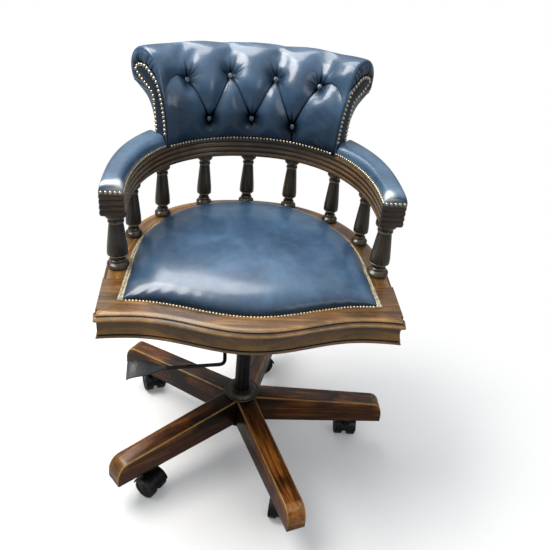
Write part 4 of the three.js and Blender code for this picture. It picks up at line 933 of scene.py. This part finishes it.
def to_line(x, up, points):
    """Distance to a broken line and how far along it the nearest place lies, as a share."""
    nearest, share = np.full(x.shape, 1e9), np.zeros(x.shape)
    lengths = distance_along(np.array(points, float))
    for a, b, start, end in zip(points[:-1], points[1:], lengths[:-1], lengths[1:]):
        dx, dy = b[0] - a[0], b[1] - a[1]
        t = np.clip(((x - a[0]) * dx + (up - a[1]) * dy) / (dx * dx + dy * dy), 0, 1)
        away = np.hypot(x - a[0] - t * dx, up - a[1] - t * dy)
        closer = away < nearest
        nearest = np.where(closer, away, nearest)
        share = np.where(closer, (start + t * (end - start)) / lengths[-1], share)
    return nearest, share


def crease_depths(x, up):
    """For each crease, its distance from every place and its depth nearest to it, as a share."""
    for points, (first, last) in creases():
        away, share = to_line(x, up, points)
        yield away, first + (last - first) * share


def drawn_in(x, up):
    """The broad form of the tufting: how deep the leather is drawn in, and how firmly it is held there."""
    valley, held, pit, channel = np.zeros((4, *x.shape))
    for away, depth in crease_depths(x, up):
        valley = np.maximum(valley, depth * (0.45 * np.exp(-away / 8) + 0.55 * bell(away, 19)))
        held = np.maximum(held, 0.5 * depth * (away < 2.5))
    for bx, by in UPPER + LOWER:
        far = np.hypot(x - bx, up - by)
        wide, deep = (19, 15) if (bx, by) in UPPER else (15, 8.5)
        pit = np.maximum(pit, deep * bell(far, wide))
        held = np.maximum(held, far < 6.5)
    for bx, by in UPPER:
        channel = np.maximum(channel, bell(x - bx - 0.04 * (up - by), 23))
    channel = channel * smooth(up, 785, 826) * (1 - smooth(up, 848, 940))
    fullness = 3.5 * (1 - np.maximum(valley, channel)) * (1 - smooth(up, 850, 900))
    return np.maximum(10 * valley, 11.5 * channel) + pit - fullness, held


def folds(x, up):
    """The fine form: crisp folds and the gathers that fan out from each button, and the leather's tone, which
    is painted shade in the folds, the gathers and round each button.
    """
    sharp, gather, pit = np.zeros((3, *x.shape))
    for away, depth in crease_depths(x, up):
        sharp = np.maximum(sharp, depth * np.exp(-(away / 1.7) ** 1.5))
    for number, (bx, by) in enumerate(UPPER + LOWER):
        # The fan points up: its spread is longest there, and shorter gathers reach down.
        upper = number < len(UPPER)
        dark, spread, longer, narrow, fine = (0.9, 12, 21, 0.75, 0.07) if upper else (0.72, 8, 25, 0.55, 0.08)
        dx, dy = x - bx, up - by
        far, angle = np.hypot(dx, dy), np.arctan2(dx, dy)
        # Painted shade round each button.
        pit = np.maximum(pit, dark * bell(far, 18))
        fade = smooth(far, 5, 9) * np.exp(-((far - 8) / (spread + longer * bell(angle, narrow))) ** 2 * 1.4)
        wave = 0.0
        for k, lean in enumerate(np.linspace(-1.15, 1.15, 7)):
            bend = lean + 0.06 * math.sin(2.3 * k + 1.7 * number)
            share = 0.65 + 0.35 * math.sin(5 * k + 2 * number)
            wave = wave + share * bell(angle - bend, fine + 0.025 * math.sin(3.1 * k + number))
        for k, lean in enumerate((-2.75, -2.35, 2.3, 2.8)):
            below = bell(angle - lean - 0.05 * math.sin(k + number), 0.1)
            wave = wave + 0.55 * below * bell(far, 22)
        gather += fade * wave
    return -(2.3 * sharp + 2.6 * gather), -np.clip(0.85 * sharp + 0.75 * gather + pit, 0, 1)


def softened(grid, passes):
    """A grid with its small bumps evened out."""
    grid = grid.copy()
    for _ in range(passes):
        for line in (grid, grid.T):
            line[1:-1] += 0.25 * (line[:-2] - 2 * line[1:-1] + line[2:])
    return grid


def resampled(grid, count):
    """A grid's first axis at another count of even steps, by a cubic through the nearest four."""
    last = len(grid) - 1
    where = np.linspace(0, last, count)
    low = np.minimum(where.astype(int), last - 1)
    t = (where - low).reshape(-1, *[1] * (grid.ndim - 1))
    a, b, c, d = (grid[np.clip(low + step, 0, last)] for step in (-1, 0, 1, 2))
    return b + 0.5 * t * (c - a + t * (2 * a - 5 * b + 4 * c - d + t * (3 * (b - c) + d - a)))


def regridded(grid, rows, columns):
    """A grid at other counts of rows and columns."""
    return resampled(resampled(grid, rows).swapaxes(0, 1), columns).swapaxes(0, 1)


def swelled(grid, held, out, cap):
    """Simulates a sheet of leather over its padding: a grid of corners under pressure from behind, with some
    slack, held where the weight is 1. Returns how far each corner moves, at most by cap."""
    rows, columns = grid.shape[:2]
    faces = np.array(grid_faces(rows, columns, closed=False))
    first = grid.reshape(-1, 3)[faces[len(faces) // 2]]
    if np.dot(np.cross(first[1] - first[0], first[2] - first[0]), out) < 0:
        faces = faces[:, ::-1]
    mesh = bpy.data.meshes.new("sheet")
    mesh.from_pydata((grid.reshape(-1, 3) * MM).tolist(), [], faces.tolist())
    sheet = bpy.data.objects.new("sheet", mesh)
    scene = bpy.context.scene
    scene.collection.objects.link(sheet)
    group = sheet.vertex_groups.new(name="held")
    for step in range(1, 11):
        group.add(np.flatnonzero(np.round(held * 10) == step).tolist(), step / 10, "REPLACE")
    cloth = sheet.modifiers.new("cloth", "CLOTH")
    settings = cloth.settings
    settings.quality = 6
    settings.mass = 0.3
    settings.tension_stiffness = settings.compression_stiffness = 12
    settings.shear_stiffness = 6
    settings.bending_stiffness = 8
    settings.shrink_min = -0.012
    settings.use_pressure = True
    settings.uniform_pressure_force = 6.0
    settings.vertex_group_mass = "held"
    settings.pin_stiffness = 1.0
    settings.effector_weights.gravity = 0
    cloth.collision_settings.use_collision = False
    for frame_number in range(1, 21):
        scene.frame_set(frame_number)
    settled = sheet.evaluated_get(bpy.context.evaluated_depsgraph_get()).to_mesh()
    places = np.empty(len(settled.vertices) * 3)
    settled.vertices.foreach_get("co", places)
    moved = places.reshape(grid.shape) / MM - grid
    scene.frame_set(1)
    bpy.data.objects.remove(sheet)
    bpy.data.meshes.remove(mesh)
    for _ in range(8):
        moved = np.stack([softened(moved[..., axis], 1) for axis in range(3)], -1)
        moved *= 1 - (held[..., None] > 0.95) * 0.5
    far = np.linalg.norm(moved, axis=-1, keepdims=True)
    return moved * np.minimum(1, cap / np.maximum(far, 1e-6))


def back_section():
    """The front face and scroll as [radius, height] points, at the ends and in the middle of the back, and
    their height when unrolled."""
    face_rows = 96
    z = np.linspace(FOOT, SCROLL_Z, face_rows, endpoint=False)
    turn = sweep(180, SCROLL_END, 118)
    line = np.vstack([np.c_[front_radius(z), z],
                      np.c_[SCROLL_OUT + SCROLL_R * np.cos(turn), SCROLL_Z + SCROLL_R * np.sin(turn)]])
    # The leather bridges the hollow where the face runs into the scroll.
    bridged = []
    past = np.arange(len(line)) - face_rows
    for low, rows, passes in ((785, 30, 200), (735, 58, 1500)):
        made = line.copy()
        share = smooth(line[:, 1], low, low + 25) * (1 - smooth(past, rows - 18, rows))
        for _ in range(passes):
            middle = (made[:-2] + made[2:]) / 2
            made[1:-1] += 0.5 * share[1:-1, None] * (middle - made[1:-1])
        bridged.append(made)
    return *bridged, np.concatenate([z, SCROLL_Z + SCROLL_R * (math.pi - turn)])


DRAWN = 4.3            # from the back's end plane to the cushion, which the facing fills
END_ROUND, FOOT_ROUND = 6.0, 3.0
# The line inside the end's rounded face that its leather is gathered towards, as [radius, height].
END_LINE = [(288, FOOT), (289, 700), (291, 728), (295, 754), (301, 777), (310, 797), (322, 811), (338, 820),
            (352, 823), (361, 824)]


def end_columns(middle):
    """Columns across the back: share of the half turn, and depth from the end and rounding left as shares
    of the rounding."""
    turn = sweep(0, 90, 7)
    insets = np.c_[1 - np.cos(turn), 1 - np.sin(turn)]
    columns = [(share, 1.0, 0.0) for share in np.linspace(-1, 1, middle)[1:-1]]
    return np.array([(-1, *inset) for inset in insets] + columns + [(1, *inset) for inset in insets[::-1]])


def make_back_cushion():
    section, middle, up = back_section()
    out, out_middle = (grown(line, 1.0) - line for line in (section, middle))
    out = unit(out)
    share, depth, left = end_columns(310).T
    depth = DRAWN + depth[:, None] * END_ROUND
    round_at = FOOT_ROUND + (END_ROUND - FOOT_ROUND) * smooth(section[:, 1], 785, SCROLL_Z)
    inner_share = smooth(1 - np.abs(share), 0.0, 0.3)[:, None, None]
    plan = section + (middle - section) * inner_share - out[None] * (left[:, None] * round_at)[..., None]
    plan[:, 0, 1] = FOOT
    bearing = share[:, None] * end_bearing(plan[..., 0], depth)
    turn = np.radians(bearing)
    x = turn * BACK_INNER
    up = np.broadcast_to(up, x.shape)
    inward = END_TURN + 2.5 - np.abs(bearing)
    facing = unit(out + (out_middle - out) * inner_share)
    normal = np.stack([facing[..., 0] * np.sin(turn), facing[..., 0] * np.cos(turn), facing[..., 1]], -1)
    at_foot = smooth(up, FOOT, FOOT + 9)
    edge = smooth(inward, 1.2, 7)

    drawn, held = drawn_in(x, up)
    rise, across = np.clip((up - FOOT) / 205, 0, 1), np.clip(bearing / END_TURN, -1, 1)
    crown = 8.5 * np.sin(np.pi * rise) ** 1.4 * (1 - across ** 4)
    broad = crown - softened(drawn, 24) * at_foot * edge
    base = round_back(plan[..., 0], bearing, plan[..., 1]) + normal * broad[..., None]
    rows, columns = 150, 110
    hold = np.where((up < FOOT + 5) | (up > up.max() - 12) | (inward < 3.2), 1.0, held)
    hold = regridded(hold, rows, columns).clip(0, 1)
    base = base + regridded(swelled(regridded(base, rows, columns), hold, (0, -1, 0), 8.0), *x.shape)

    fine, tone = folds(x, up)
    length = distance_along(section)
    wave = np.abs(np.sin(length / 3.9 + 1.3 * np.sin(length / 13) + 0.8 * np.sin(length / 5.1) + 0.4)) ** 0.5
    wave = 1 - (1 - wave) * (0.6 + 0.4 * np.sin(length / 9.7 + 1))
    pleat = (wave - 1) * smooth(section[:, 1], 792, 818) * (length > 100)
    near_end = np.exp(-np.maximum(0, inward - 0.6) / 1.1)
    crumple = 0.3 * np.sin(x / 6.5 + up / 4.6 + 2 * np.sin(up / 17)) * bell(np.abs(x) - 168, 24)
    crumple = crumple * smooth(-up, -790, -735)
    total = fine * at_foot * edge + 1.1 * pleat * near_end + crumple * at_foot
    soft = base + normal * total[..., None]
    soft[..., 2] = np.maximum(soft[..., 2], FOOT)
    # Painted shade in the folds and pleats, deepening towards the foot and towards the right-hand side.
    shade = tone * edge + 0.35 * pleat * near_end
    shade = shade - 0.4 * smooth(-up, -708, -FOOT) - 0.4 * smooth(-up, -800, -705) - 0.2 * smooth(x, 40, 190)

    behind, before = CUSHION_DEEP + BOARD_THICK + CUSHION_GAP, CUSHION_DEEP - CUSHION_GAP
    core = np.array([(front_radius(BOARD_TOP) + behind, BOARD_TOP + CUSHION_GAP)]
                    + [(front_radius(z) + before, z) for z in np.linspace(BOARD_TOP, FOOT, 5)])
    inner = round_back(core[:, 0], share[:, None] * end_bearing(core[:, 0], depth), core[:, 1])
    rings = np.concatenate([soft, inner], 1)
    # Painted shade where the cushion turns back to the board.
    tones = np.concatenate([shade, np.full(inner.shape[:2], -0.6)], 1)

    # Each end: the leather turns in round the facing, gathered in pleats towards the facing's tip, with
    # painted shade in the pleats that deepens towards the tip.
    outline = np.vstack([section - out * round_at[:, None], core])
    line = even(END_LINE, 200)
    away = np.linalg.norm(outline[:, None] - line[None], axis=-1)
    anchor, distance = line[np.argmin(away, 1)], away.min(1)
    puff = 5.0 * smooth(distance, 22, 38) * (np.arange(len(outline)) < len(section))
    cut = np.concatenate([pleat, np.zeros(len(core))])
    for side in (-1, 1):
        start = rings[0 if side < 0 else -1]
        goal = round_back(anchor[:, 0], side * end_bearing(anchor[:, 0], DRAWN), anchor[:, 1])
        group, shades = [], []
        for step in np.linspace(0, 0.86, 15)[1:]:
            t = np.clip(1 - (distance * (1 - step) - 16) / np.maximum(distance - 16, 1), 0, 1)
            lift = puff * np.sin(np.pi * t) ** 0.8 + 3.0 * cut * np.sin(np.pi * np.clip(t * 0.8 + 0.12, 0, 1))
            group.append(start + (goal - start) * step + end_normal(side) * lift[:, None])
            # Painted shade in the pleats and towards the facing's tip.
            shades.append(1.1 * cut - 0.75 * smooth(t, 0.3, 1))
        rings = np.concatenate([group[::-1], rings] if side < 0 else [rings, group])
        tones = np.concatenate([shades[::-1], tones] if side < 0 else [tones, shades])
    verts, faces = loft(rings)
    made = piece("back_cushion_leather", verts, faces, "seat", "leather", LEATHER, ["back_cushion"],
                 tones.ravel(), sharp=80)
    make_buttons(x, up, soft, normal)
    make_back_nails()


def make_buttons(x, up, soft, normal):
    """Covered buttons, each at the bottom of its tuft."""
    shape, faces = dome(7.2, 4.4, 24, 6)
    parts = []
    for across, height in UPPER + LOWER:
        column, row = np.unravel_index(np.argmin((x - across) ** 2 + (up - height) ** 2), x.shape)
        turn = np.array(Vector(normal[column, row]).to_track_quat("Z", "Y").to_matrix())
        parts.append((shape @ turn.T + soft[column, row] - normal[column, row] * 0.4, faces))
    verts, faces = merged(*parts)
    made = piece("back_buttons", verts, faces, "seat", "leather", PAD_LEATHER, sharp=60)


def make_back_nails():
    z = FOOT + 3.4
    half = math.radians(float(end_bearing(BACK_INNER, 12)))
    turn = np.linspace(-half, half, round(2 * half * BACK_INNER / 7.6))
    slope = (front_radius(z + 1) - front_radius(z - 1)) / 2
    normals = unit(np.stack(np.broadcast_arrays(-np.sin(turn), -np.cos(turn), slope), -1))
    nails("back_foot_nails", round_back(front_radius(z) - 1.4, np.degrees(turn), z), normals, 3.2, 2.6)


def rear_line():
    """The back's rear face from the scroll's rear end down to the foot, as [radius, height]."""
    foot_radius = 313
    turn = math.radians(SCROLL_END)
    lip = (SCROLL_OUT + SCROLL_R * math.cos(turn), SCROLL_Z + SCROLL_R * math.sin(turn))
    shares = np.array([(0, 0), (0.2, 0), (0.42, 0.06), (0.62, 0.17), (0.8, 0.36), (1, 1)])
    up = np.linspace(1, 0, 28)
    out = np.interp(up, *shares.T)
    for _ in range(3):
        out[1:-1] = (out[:-2] + 2 * out[1:-1] + out[2:]) / 4
    return np.c_[foot_radius + (lip[0] - foot_radius) * out + 2 * (1 - up) ** 3, FOOT + (lip[1] - FOOT) * up]


def make_back_panel():
    rear = rear_line()
    rear[0] -= [0.3, 0.6]
    heights = np.linspace(FOOT, BOARD_TOP, 5)
    behind = CUSHION_DEEP + BOARD_THICK + CUSHION_GAP
    core = np.c_[front_radius(heights) + behind, heights - CUSHION_GAP * (heights == BOARD_TOP)]
    section = np.vstack([core, rear])
    rounded = FOOT_ROUND * (np.arange(len(section)) > len(core))
    normals = grown(section, 1.0) - section
    rings = []
    for share, depth, left in end_columns(90):
        plan = section - normals * (left * rounded)[:, None]
        plan[-1, 1] = FOOT
        bearing = share * end_bearing(plan[:, 0], DRAWN + depth * END_ROUND)
        rings.append(round_back(plan[:, 0], bearing, plan[:, 1]))
    # Painted shade along the foot, where the panel meets the rail.
    tones = np.tile(np.where(section[:, 1] < FOOT + 6, -0.3, 0.0), len(rings))
    made = piece("back_panel_leather", *loft(rings), "seat", "leather", LEATHER, ["back_panel"], tones,
                 sharp=50)

    heights = np.linspace(FOOT, BOARD_TOP, 8)
    board = np.c_[front_radius(heights) + CUSHION_DEEP, heights]
    board = np.vstack([board, board[::-1] + [BOARD_THICK, 0]])
    verts, faces = loft([round_back(board[:, 0], share * end_bearing(board[:, 0], DRAWN), board[:, 1])
                         for share in np.linspace(-1, 1, 60)])
    grain = np.c_[np.degrees(np.arctan2(verts[:, 0], verts[:, 1])) * 5, verts[:, 2], np.zeros(len(verts))]
    piece("back_frame_board", verts, faces, "seat", "plywood", PLYWOOD, ["back_frame"], grain=grain)


# Facing outline round its tip, from the scroll's centre in shares of its radius, and down its rear edge.
FACING_TIP = [
    (-0.9, -0.09), (-0.64, 0.09), (-0.39, 0.235), (-0.18, 0.316), (0.06, 0.316), (0.29, 0.255), (0.49, 0.12),
    (0.567, -0.02), (0.49, -0.163), (0.306, -0.327), (-0.02, -0.52), (-0.286, -0.633), (-0.51, -0.745),
    (-0.653, -0.878), (-0.725, -1.08),
]
FACING_REAR = [(314.4, 757.9), (311.7, 736.1), (309, 710), (307.6, FOOT)]


def facing_outline():
    """The end facing's outline as [radius, height]: front edge up, round the tip and down the rear."""
    z = np.linspace(FOOT, FOOT + 0.91 * (SCROLL_Z - FOOT), 12)
    tip = np.array(FACING_TIP) * SCROLL_R + [SCROLL_OUT, SCROLL_Z]
    line = np.vstack([np.c_[front_radius(z) + 3, z], tip, FACING_REAR])
    for _ in range(3):
        before, after = line[:-1], line[1:]
        cut = np.stack([0.75 * before + 0.25 * after, 0.25 * before + 0.75 * after], 1).reshape(-1, 2)
        line = np.vstack([line[:1], cut, line[-1:]])
    return line


# Rings of a facing: distance in from its outline, drawn in from the back's end, tone, which is painted shade:
# darkest along the nail row and at the turned-in edge, lightest on the rim.
FACING_RINGS = [(0, 4.0, -0.8), (0, 1.0, -0.4), (0.5, 0.3, -0.2), (1.3, 0.0, -0.1), (2.3, 0.2, -0.5),
                (3.7, 0.5, -0.95), (5.2, 0.2, -0.85), (6.6, -0.2, -0.78), (8.5, -0.7, -0.74)]


def make_facings():
    outline = even(facing_outline(), 150)
    nail_line = grown(outline, -3.7)[2:-2]
    nail_line = nail_line[nail_line[:, 1] > FOOT + 29]
    points, _ = evenly(nail_line, 9.0)
    for name, side in SIDES:
        rings = []
        for inset, drawn, _ in FACING_RINGS:
            ring = grown(outline, -inset)
            ring[[0, -1], 1] = FOOT
            rings.append(round_back(ring[:, 0], side * end_bearing(ring[:, 0], drawn), ring[:, 1]))
        tones = np.repeat([tone for *_, tone in FACING_RINGS], len(outline))
        made = piece(f"back_facing_{name}_leather", *loft(rings), "seat", "leather", LEATHER,
                     [f"back_facing_{name}"], tones, sharp=50)
        places = round_back(points[:, 0], side * end_bearing(points[:, 0], 0.2), points[:, 1])
        nails(f"back_facing_{name}_nails", places, end_normal(side), 3.8, 3.0)


# Mechanism ---------------------------------------------------------------------------------------

def tube_along(points, radius, sides=16):
    """A round rod along a line of points."""
    turn = np.linspace(0, 2 * np.pi, sides, endpoint=False)[:, None]
    direction = unit(np.gradient(points, axis=0))
    across = np.cross(direction[0], [0, 0, 1.0])
    rings = []
    for place, ahead in zip(points, direction):
        across = unit(across - ahead * np.dot(across, ahead))
        rings.append(place + radius * (np.cos(turn) * across + np.sin(turn) * np.cross(ahead, across)))
    return loft(rings)


def make_lever():
    pivot_z, low_z = 404.7, 366
    corners = [(46, -35, pivot_z), (-49, -35, pivot_z), (-49, -150, low_z), (-166, -165, low_z)]
    path = eased(corners, 12, 8)
    path = np.vstack([even(path[[0, 1]], 8)[:-1], path[1:-1], even(path[[-2, -1]], 12)[1:]])
    piece("lever_rod_steel", *tube_along(path, 3.8), "lever", "black_steel", BLACK_STEEL, ["lever_rod"],
          sharp=50)
    # The paddle: share of its length, and shares of its width, drop and thickness there.
    along, *shape = np.array([
        (0, 0.16, 0, 2.4), (0.13, 0.26, 0, 1.8), (0.32, 0.62, 0, 1.1), (0.52, 0.86, 0, 1),
        (0.75, 0.98, 0.15, 1), (0.9, 1, 0.8, 1), (1, 0.97, 1.8, 0.9)]).T
    lean = math.radians(32)
    rings, tones = [], []
    for t in np.linspace(0, 1, 29):
        width, drop, thick = (np.interp(t, along, values) for values in shape)
        bar = rounded_bar(18 * width, 1.5 * thick, min(1.3, 1.4 * thick))
        rings.append(np.c_[np.full(len(bar), -166.9 - 78 * t), -165 - 3 * t + bar[:, 0] * math.cos(lean),
                           low_z - 5 * drop + bar[:, 0] * math.sin(lean) + bar[:, 1]])
        tones.append(np.full(len(bar), 0.2 + 0.8 * smooth(t, 0.4, 0.9)))
    piece("lever_paddle_plastic", *loft(rings), "lever", "black_plastic", BLACK_PLASTIC, ["lever_paddle"],
          np.concatenate(tones), sharp=50)


def make_tension():
    top, bottom = 423.4, 371.4
    verts, faces = turned(eased([[4.4, bottom], [17, bottom], [17, top], [15, top], [15, bottom + 2],
                                 [4.4, bottom + 2], [4.4, bottom]], 0.6), 40)
    piece("spring_barrel_steel", verts + SPRING_AXIS, faces, "mechanism", "black_steel", BLACK_STEEL,
          ["spring_barrel"])
    turn = np.linspace(0, 10 * np.pi, 181)
    coil = np.c_[11.5 * np.cos(turn), 11.5 * np.sin(turn), np.linspace(375.3, 421.5, 181)] + SPRING_AXIS
    piece("tension_spring_wire", *tube_along(coil, 1.6, 10), "mechanism", "steel", STEEL, ["tension_spring"])
    low, high = 355.1, 371.1
    verts, faces = turned(eased([[0, low], [16, low], [20, low + 4], [20, high - 4], [16, high], [4, high],
                                 [4, 423.1], [0, 423.1]], 1.5), 60)
    angle = np.arctan2(verts[:, 1], verts[:, 0])
    fluted = np.hypot(verts[:, 0], verts[:, 1]) > 12
    verts[:, :2] *= np.where(fluted, 1 - 0.05 * (0.5 + 0.5 * np.cos(12 * angle)) ** 2, 1)[:, None]
    piece("tension_knob_plastic", verts + SPRING_AXIS, faces, "knob", "black_plastic", BLACK_PLASTIC,
          ["tension_knob"])


def dress_solids():
    """Gives the solids that stay as they are their finishes."""
    for name, material in (("mechanism_housing", BLACK_STEEL), ("tilt_pin", STEEL),
                           ("seat_plate", BLACK_STEEL), ("seat_board", PLYWOOD)):
        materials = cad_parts[name].data.materials
        materials.clear()
        materials.append(material)


# Stage, light and camera -------------------------------------------------------------------------

# How much of the white ground reflections show; the rest is the dome and the floor's bounce.
GLOSS_SHARE = 0.12


def white_share(nodes):
    """How white the ground is: fully for camera and transmission rays, and by a share for glossy ones."""
    path = nodes.node("ShaderNodeLightPath")
    clear = nodes.math("ADD", path.outputs["Is Camera Ray"], path.outputs["Is Transmission Ray"])
    glossy = nodes.math("MULTIPLY", path.outputs["Is Glossy Ray"], GLOSS_SHARE)
    return nodes.math("ADD", clear, glossy, clamp=True)


def floor_material():
    """A pale floor that takes the chair's shadow and is white further out; what it bounces back is darker."""
    s = Finish("pale_floor")
    s.finish(Base_Color=(0.91, 0.895, 0.88), Roughness=0.8, Specular_IOR_Level=0.1)
    white = s.node("ShaderNodeEmission", {"Color": (1.0, 1.0, 1.0), "Strength": 1.0}).outputs[0]
    far = s.node("ShaderNodeVectorMath", {0: s.coordinates(), 1: (0.12, -0.1, 0.0)}, operation="DISTANCE")
    seen = s.mix_shaders(s.ramp(far.outputs["Value"], (0.42, 0.12), (0.95, 1.0)), s.bsdf.outputs[0], white)
    ground = s.node("ShaderNodeBsdfDiffuse", {"Color": (0.3, 0.29, 0.28)}).outputs[0]
    s.put(s.tree.nodes["Material Output"].inputs["Surface"], s.mix_shaders(white_share(s), ground, seen))
    return s.material


def make_stage():
    mesh = bpy.data.meshes.new("floor")
    half = 12.0                                 # metres
    corners = [(x * half, y * half, 0) for x, y in ((-1, -1), (1, -1), (1, 1), (-1, 1))]
    mesh.from_pydata(corners, [], [(0, 1, 2, 3)])
    mesh.materials.append(floor_material())
    floor = bpy.data.objects.new("floor", mesh)
    bpy.context.scene.collection.objects.link(floor)


def area_light(name, place, size, power, color):
    """A round lamp that points at the chair."""
    data = bpy.data.lights.new(name, "AREA")
    data.shape, data.size, data.energy, data.color = "DISK", size, power, color
    lamp = bpy.data.objects.new(name, data)
    lamp.location = place
    lamp.rotation_mode = "QUATERNION"
    lamp.rotation_quaternion = (Vector((0, 0, 0.6)) - Vector(place)).to_track_quat("-Z", "Y")
    bpy.context.scene.collection.objects.link(lamp)


def make_light():
    scene = bpy.context.scene
    scene.view_settings.view_transform = "Standard"
    scene.world = bpy.data.worlds.new("studio")
    scene.world.use_nodes = True
    w = Nodes(scene.world.node_tree)
    # A soft dome: bright overhead and dim towards the horizon.
    parts = w.node("ShaderNodeSeparateXYZ", {0: w.node("ShaderNodeTexCoord").outputs["Generated"]})
    strength = w.node("ShaderNodeMapRange", {"Value": parts.outputs["Z"], "From Min": 0.02, "From Max": 0.85,
                                             "To Min": 0.07, "To Max": 0.8}, interpolation_type="SMOOTHSTEP")
    soft = w.tree.nodes["Background"]
    w.put(soft.inputs["Color"], (0.88, 0.94, 1.0))
    w.put(soft.inputs["Strength"], strength.outputs["Result"])
    white = w.node("ShaderNodeBackground", {"Color": (1.0, 1.0, 1.0)})
    shown = w.mix_shaders(white_share(w), soft.outputs[0], white.outputs[0])
    w.put(w.tree.nodes["World Output"].inputs["Surface"], shown)
    area_light("key", (-1.35, 0.1, 2.5), 1.6, 62, (1.0, 0.98, 0.95))
    area_light("overhead", (-0.45, 1.0, 2.45), 1.5, 30, (1.0, 0.99, 0.97))
    area_light("fill", (1.7, -2.0, 1.9), 1.3, 7, (0.95, 0.97, 1.0))


def make_camera():
    """The photograph's camera, as fitted to it: its focal length is in pixels of the picture's width."""
    focal, picture = 695.7, 550
    yaw, pitch, roll = (math.radians(a) for a in (6.7, -33.8, 5.5))
    forward = Vector((math.sin(yaw) * math.cos(pitch), math.cos(yaw) * math.cos(pitch), math.sin(pitch)))
    right = Vector((math.cos(yaw), -math.sin(yaw), 0))
    up = right.cross(forward)
    tilted = right * math.cos(roll) + up * math.sin(roll)
    upright = up * math.cos(roll) - right * math.sin(roll)
    data = bpy.data.cameras.new("camera")
    data.sensor_width = 36
    data.lens = focal / picture * data.sensor_width
    data.clip_end = 50
    camera = bpy.data.objects.new("camera", data)
    turn = Matrix((tilted, upright, -forward)).transposed()
    camera.matrix_world = Matrix.Translation(Vector((-0.1103, -1.2657, 1.314))) @ turn.to_4x4()
    bpy.context.scene.collection.objects.link(camera)
    bpy.context.scene.camera = camera


# The nails' random tilts follow this order.
for make in (make_camera, make_light, make_stage, make_legs, make_column, make_casters, make_seat_frame,
             make_seat_cushion, make_seat_trim, make_spindles, make_arm_rail, make_arm_pads,
             make_back_cushion, make_back_panel, make_facings, make_lever, make_tension, dress_solids):
    make()
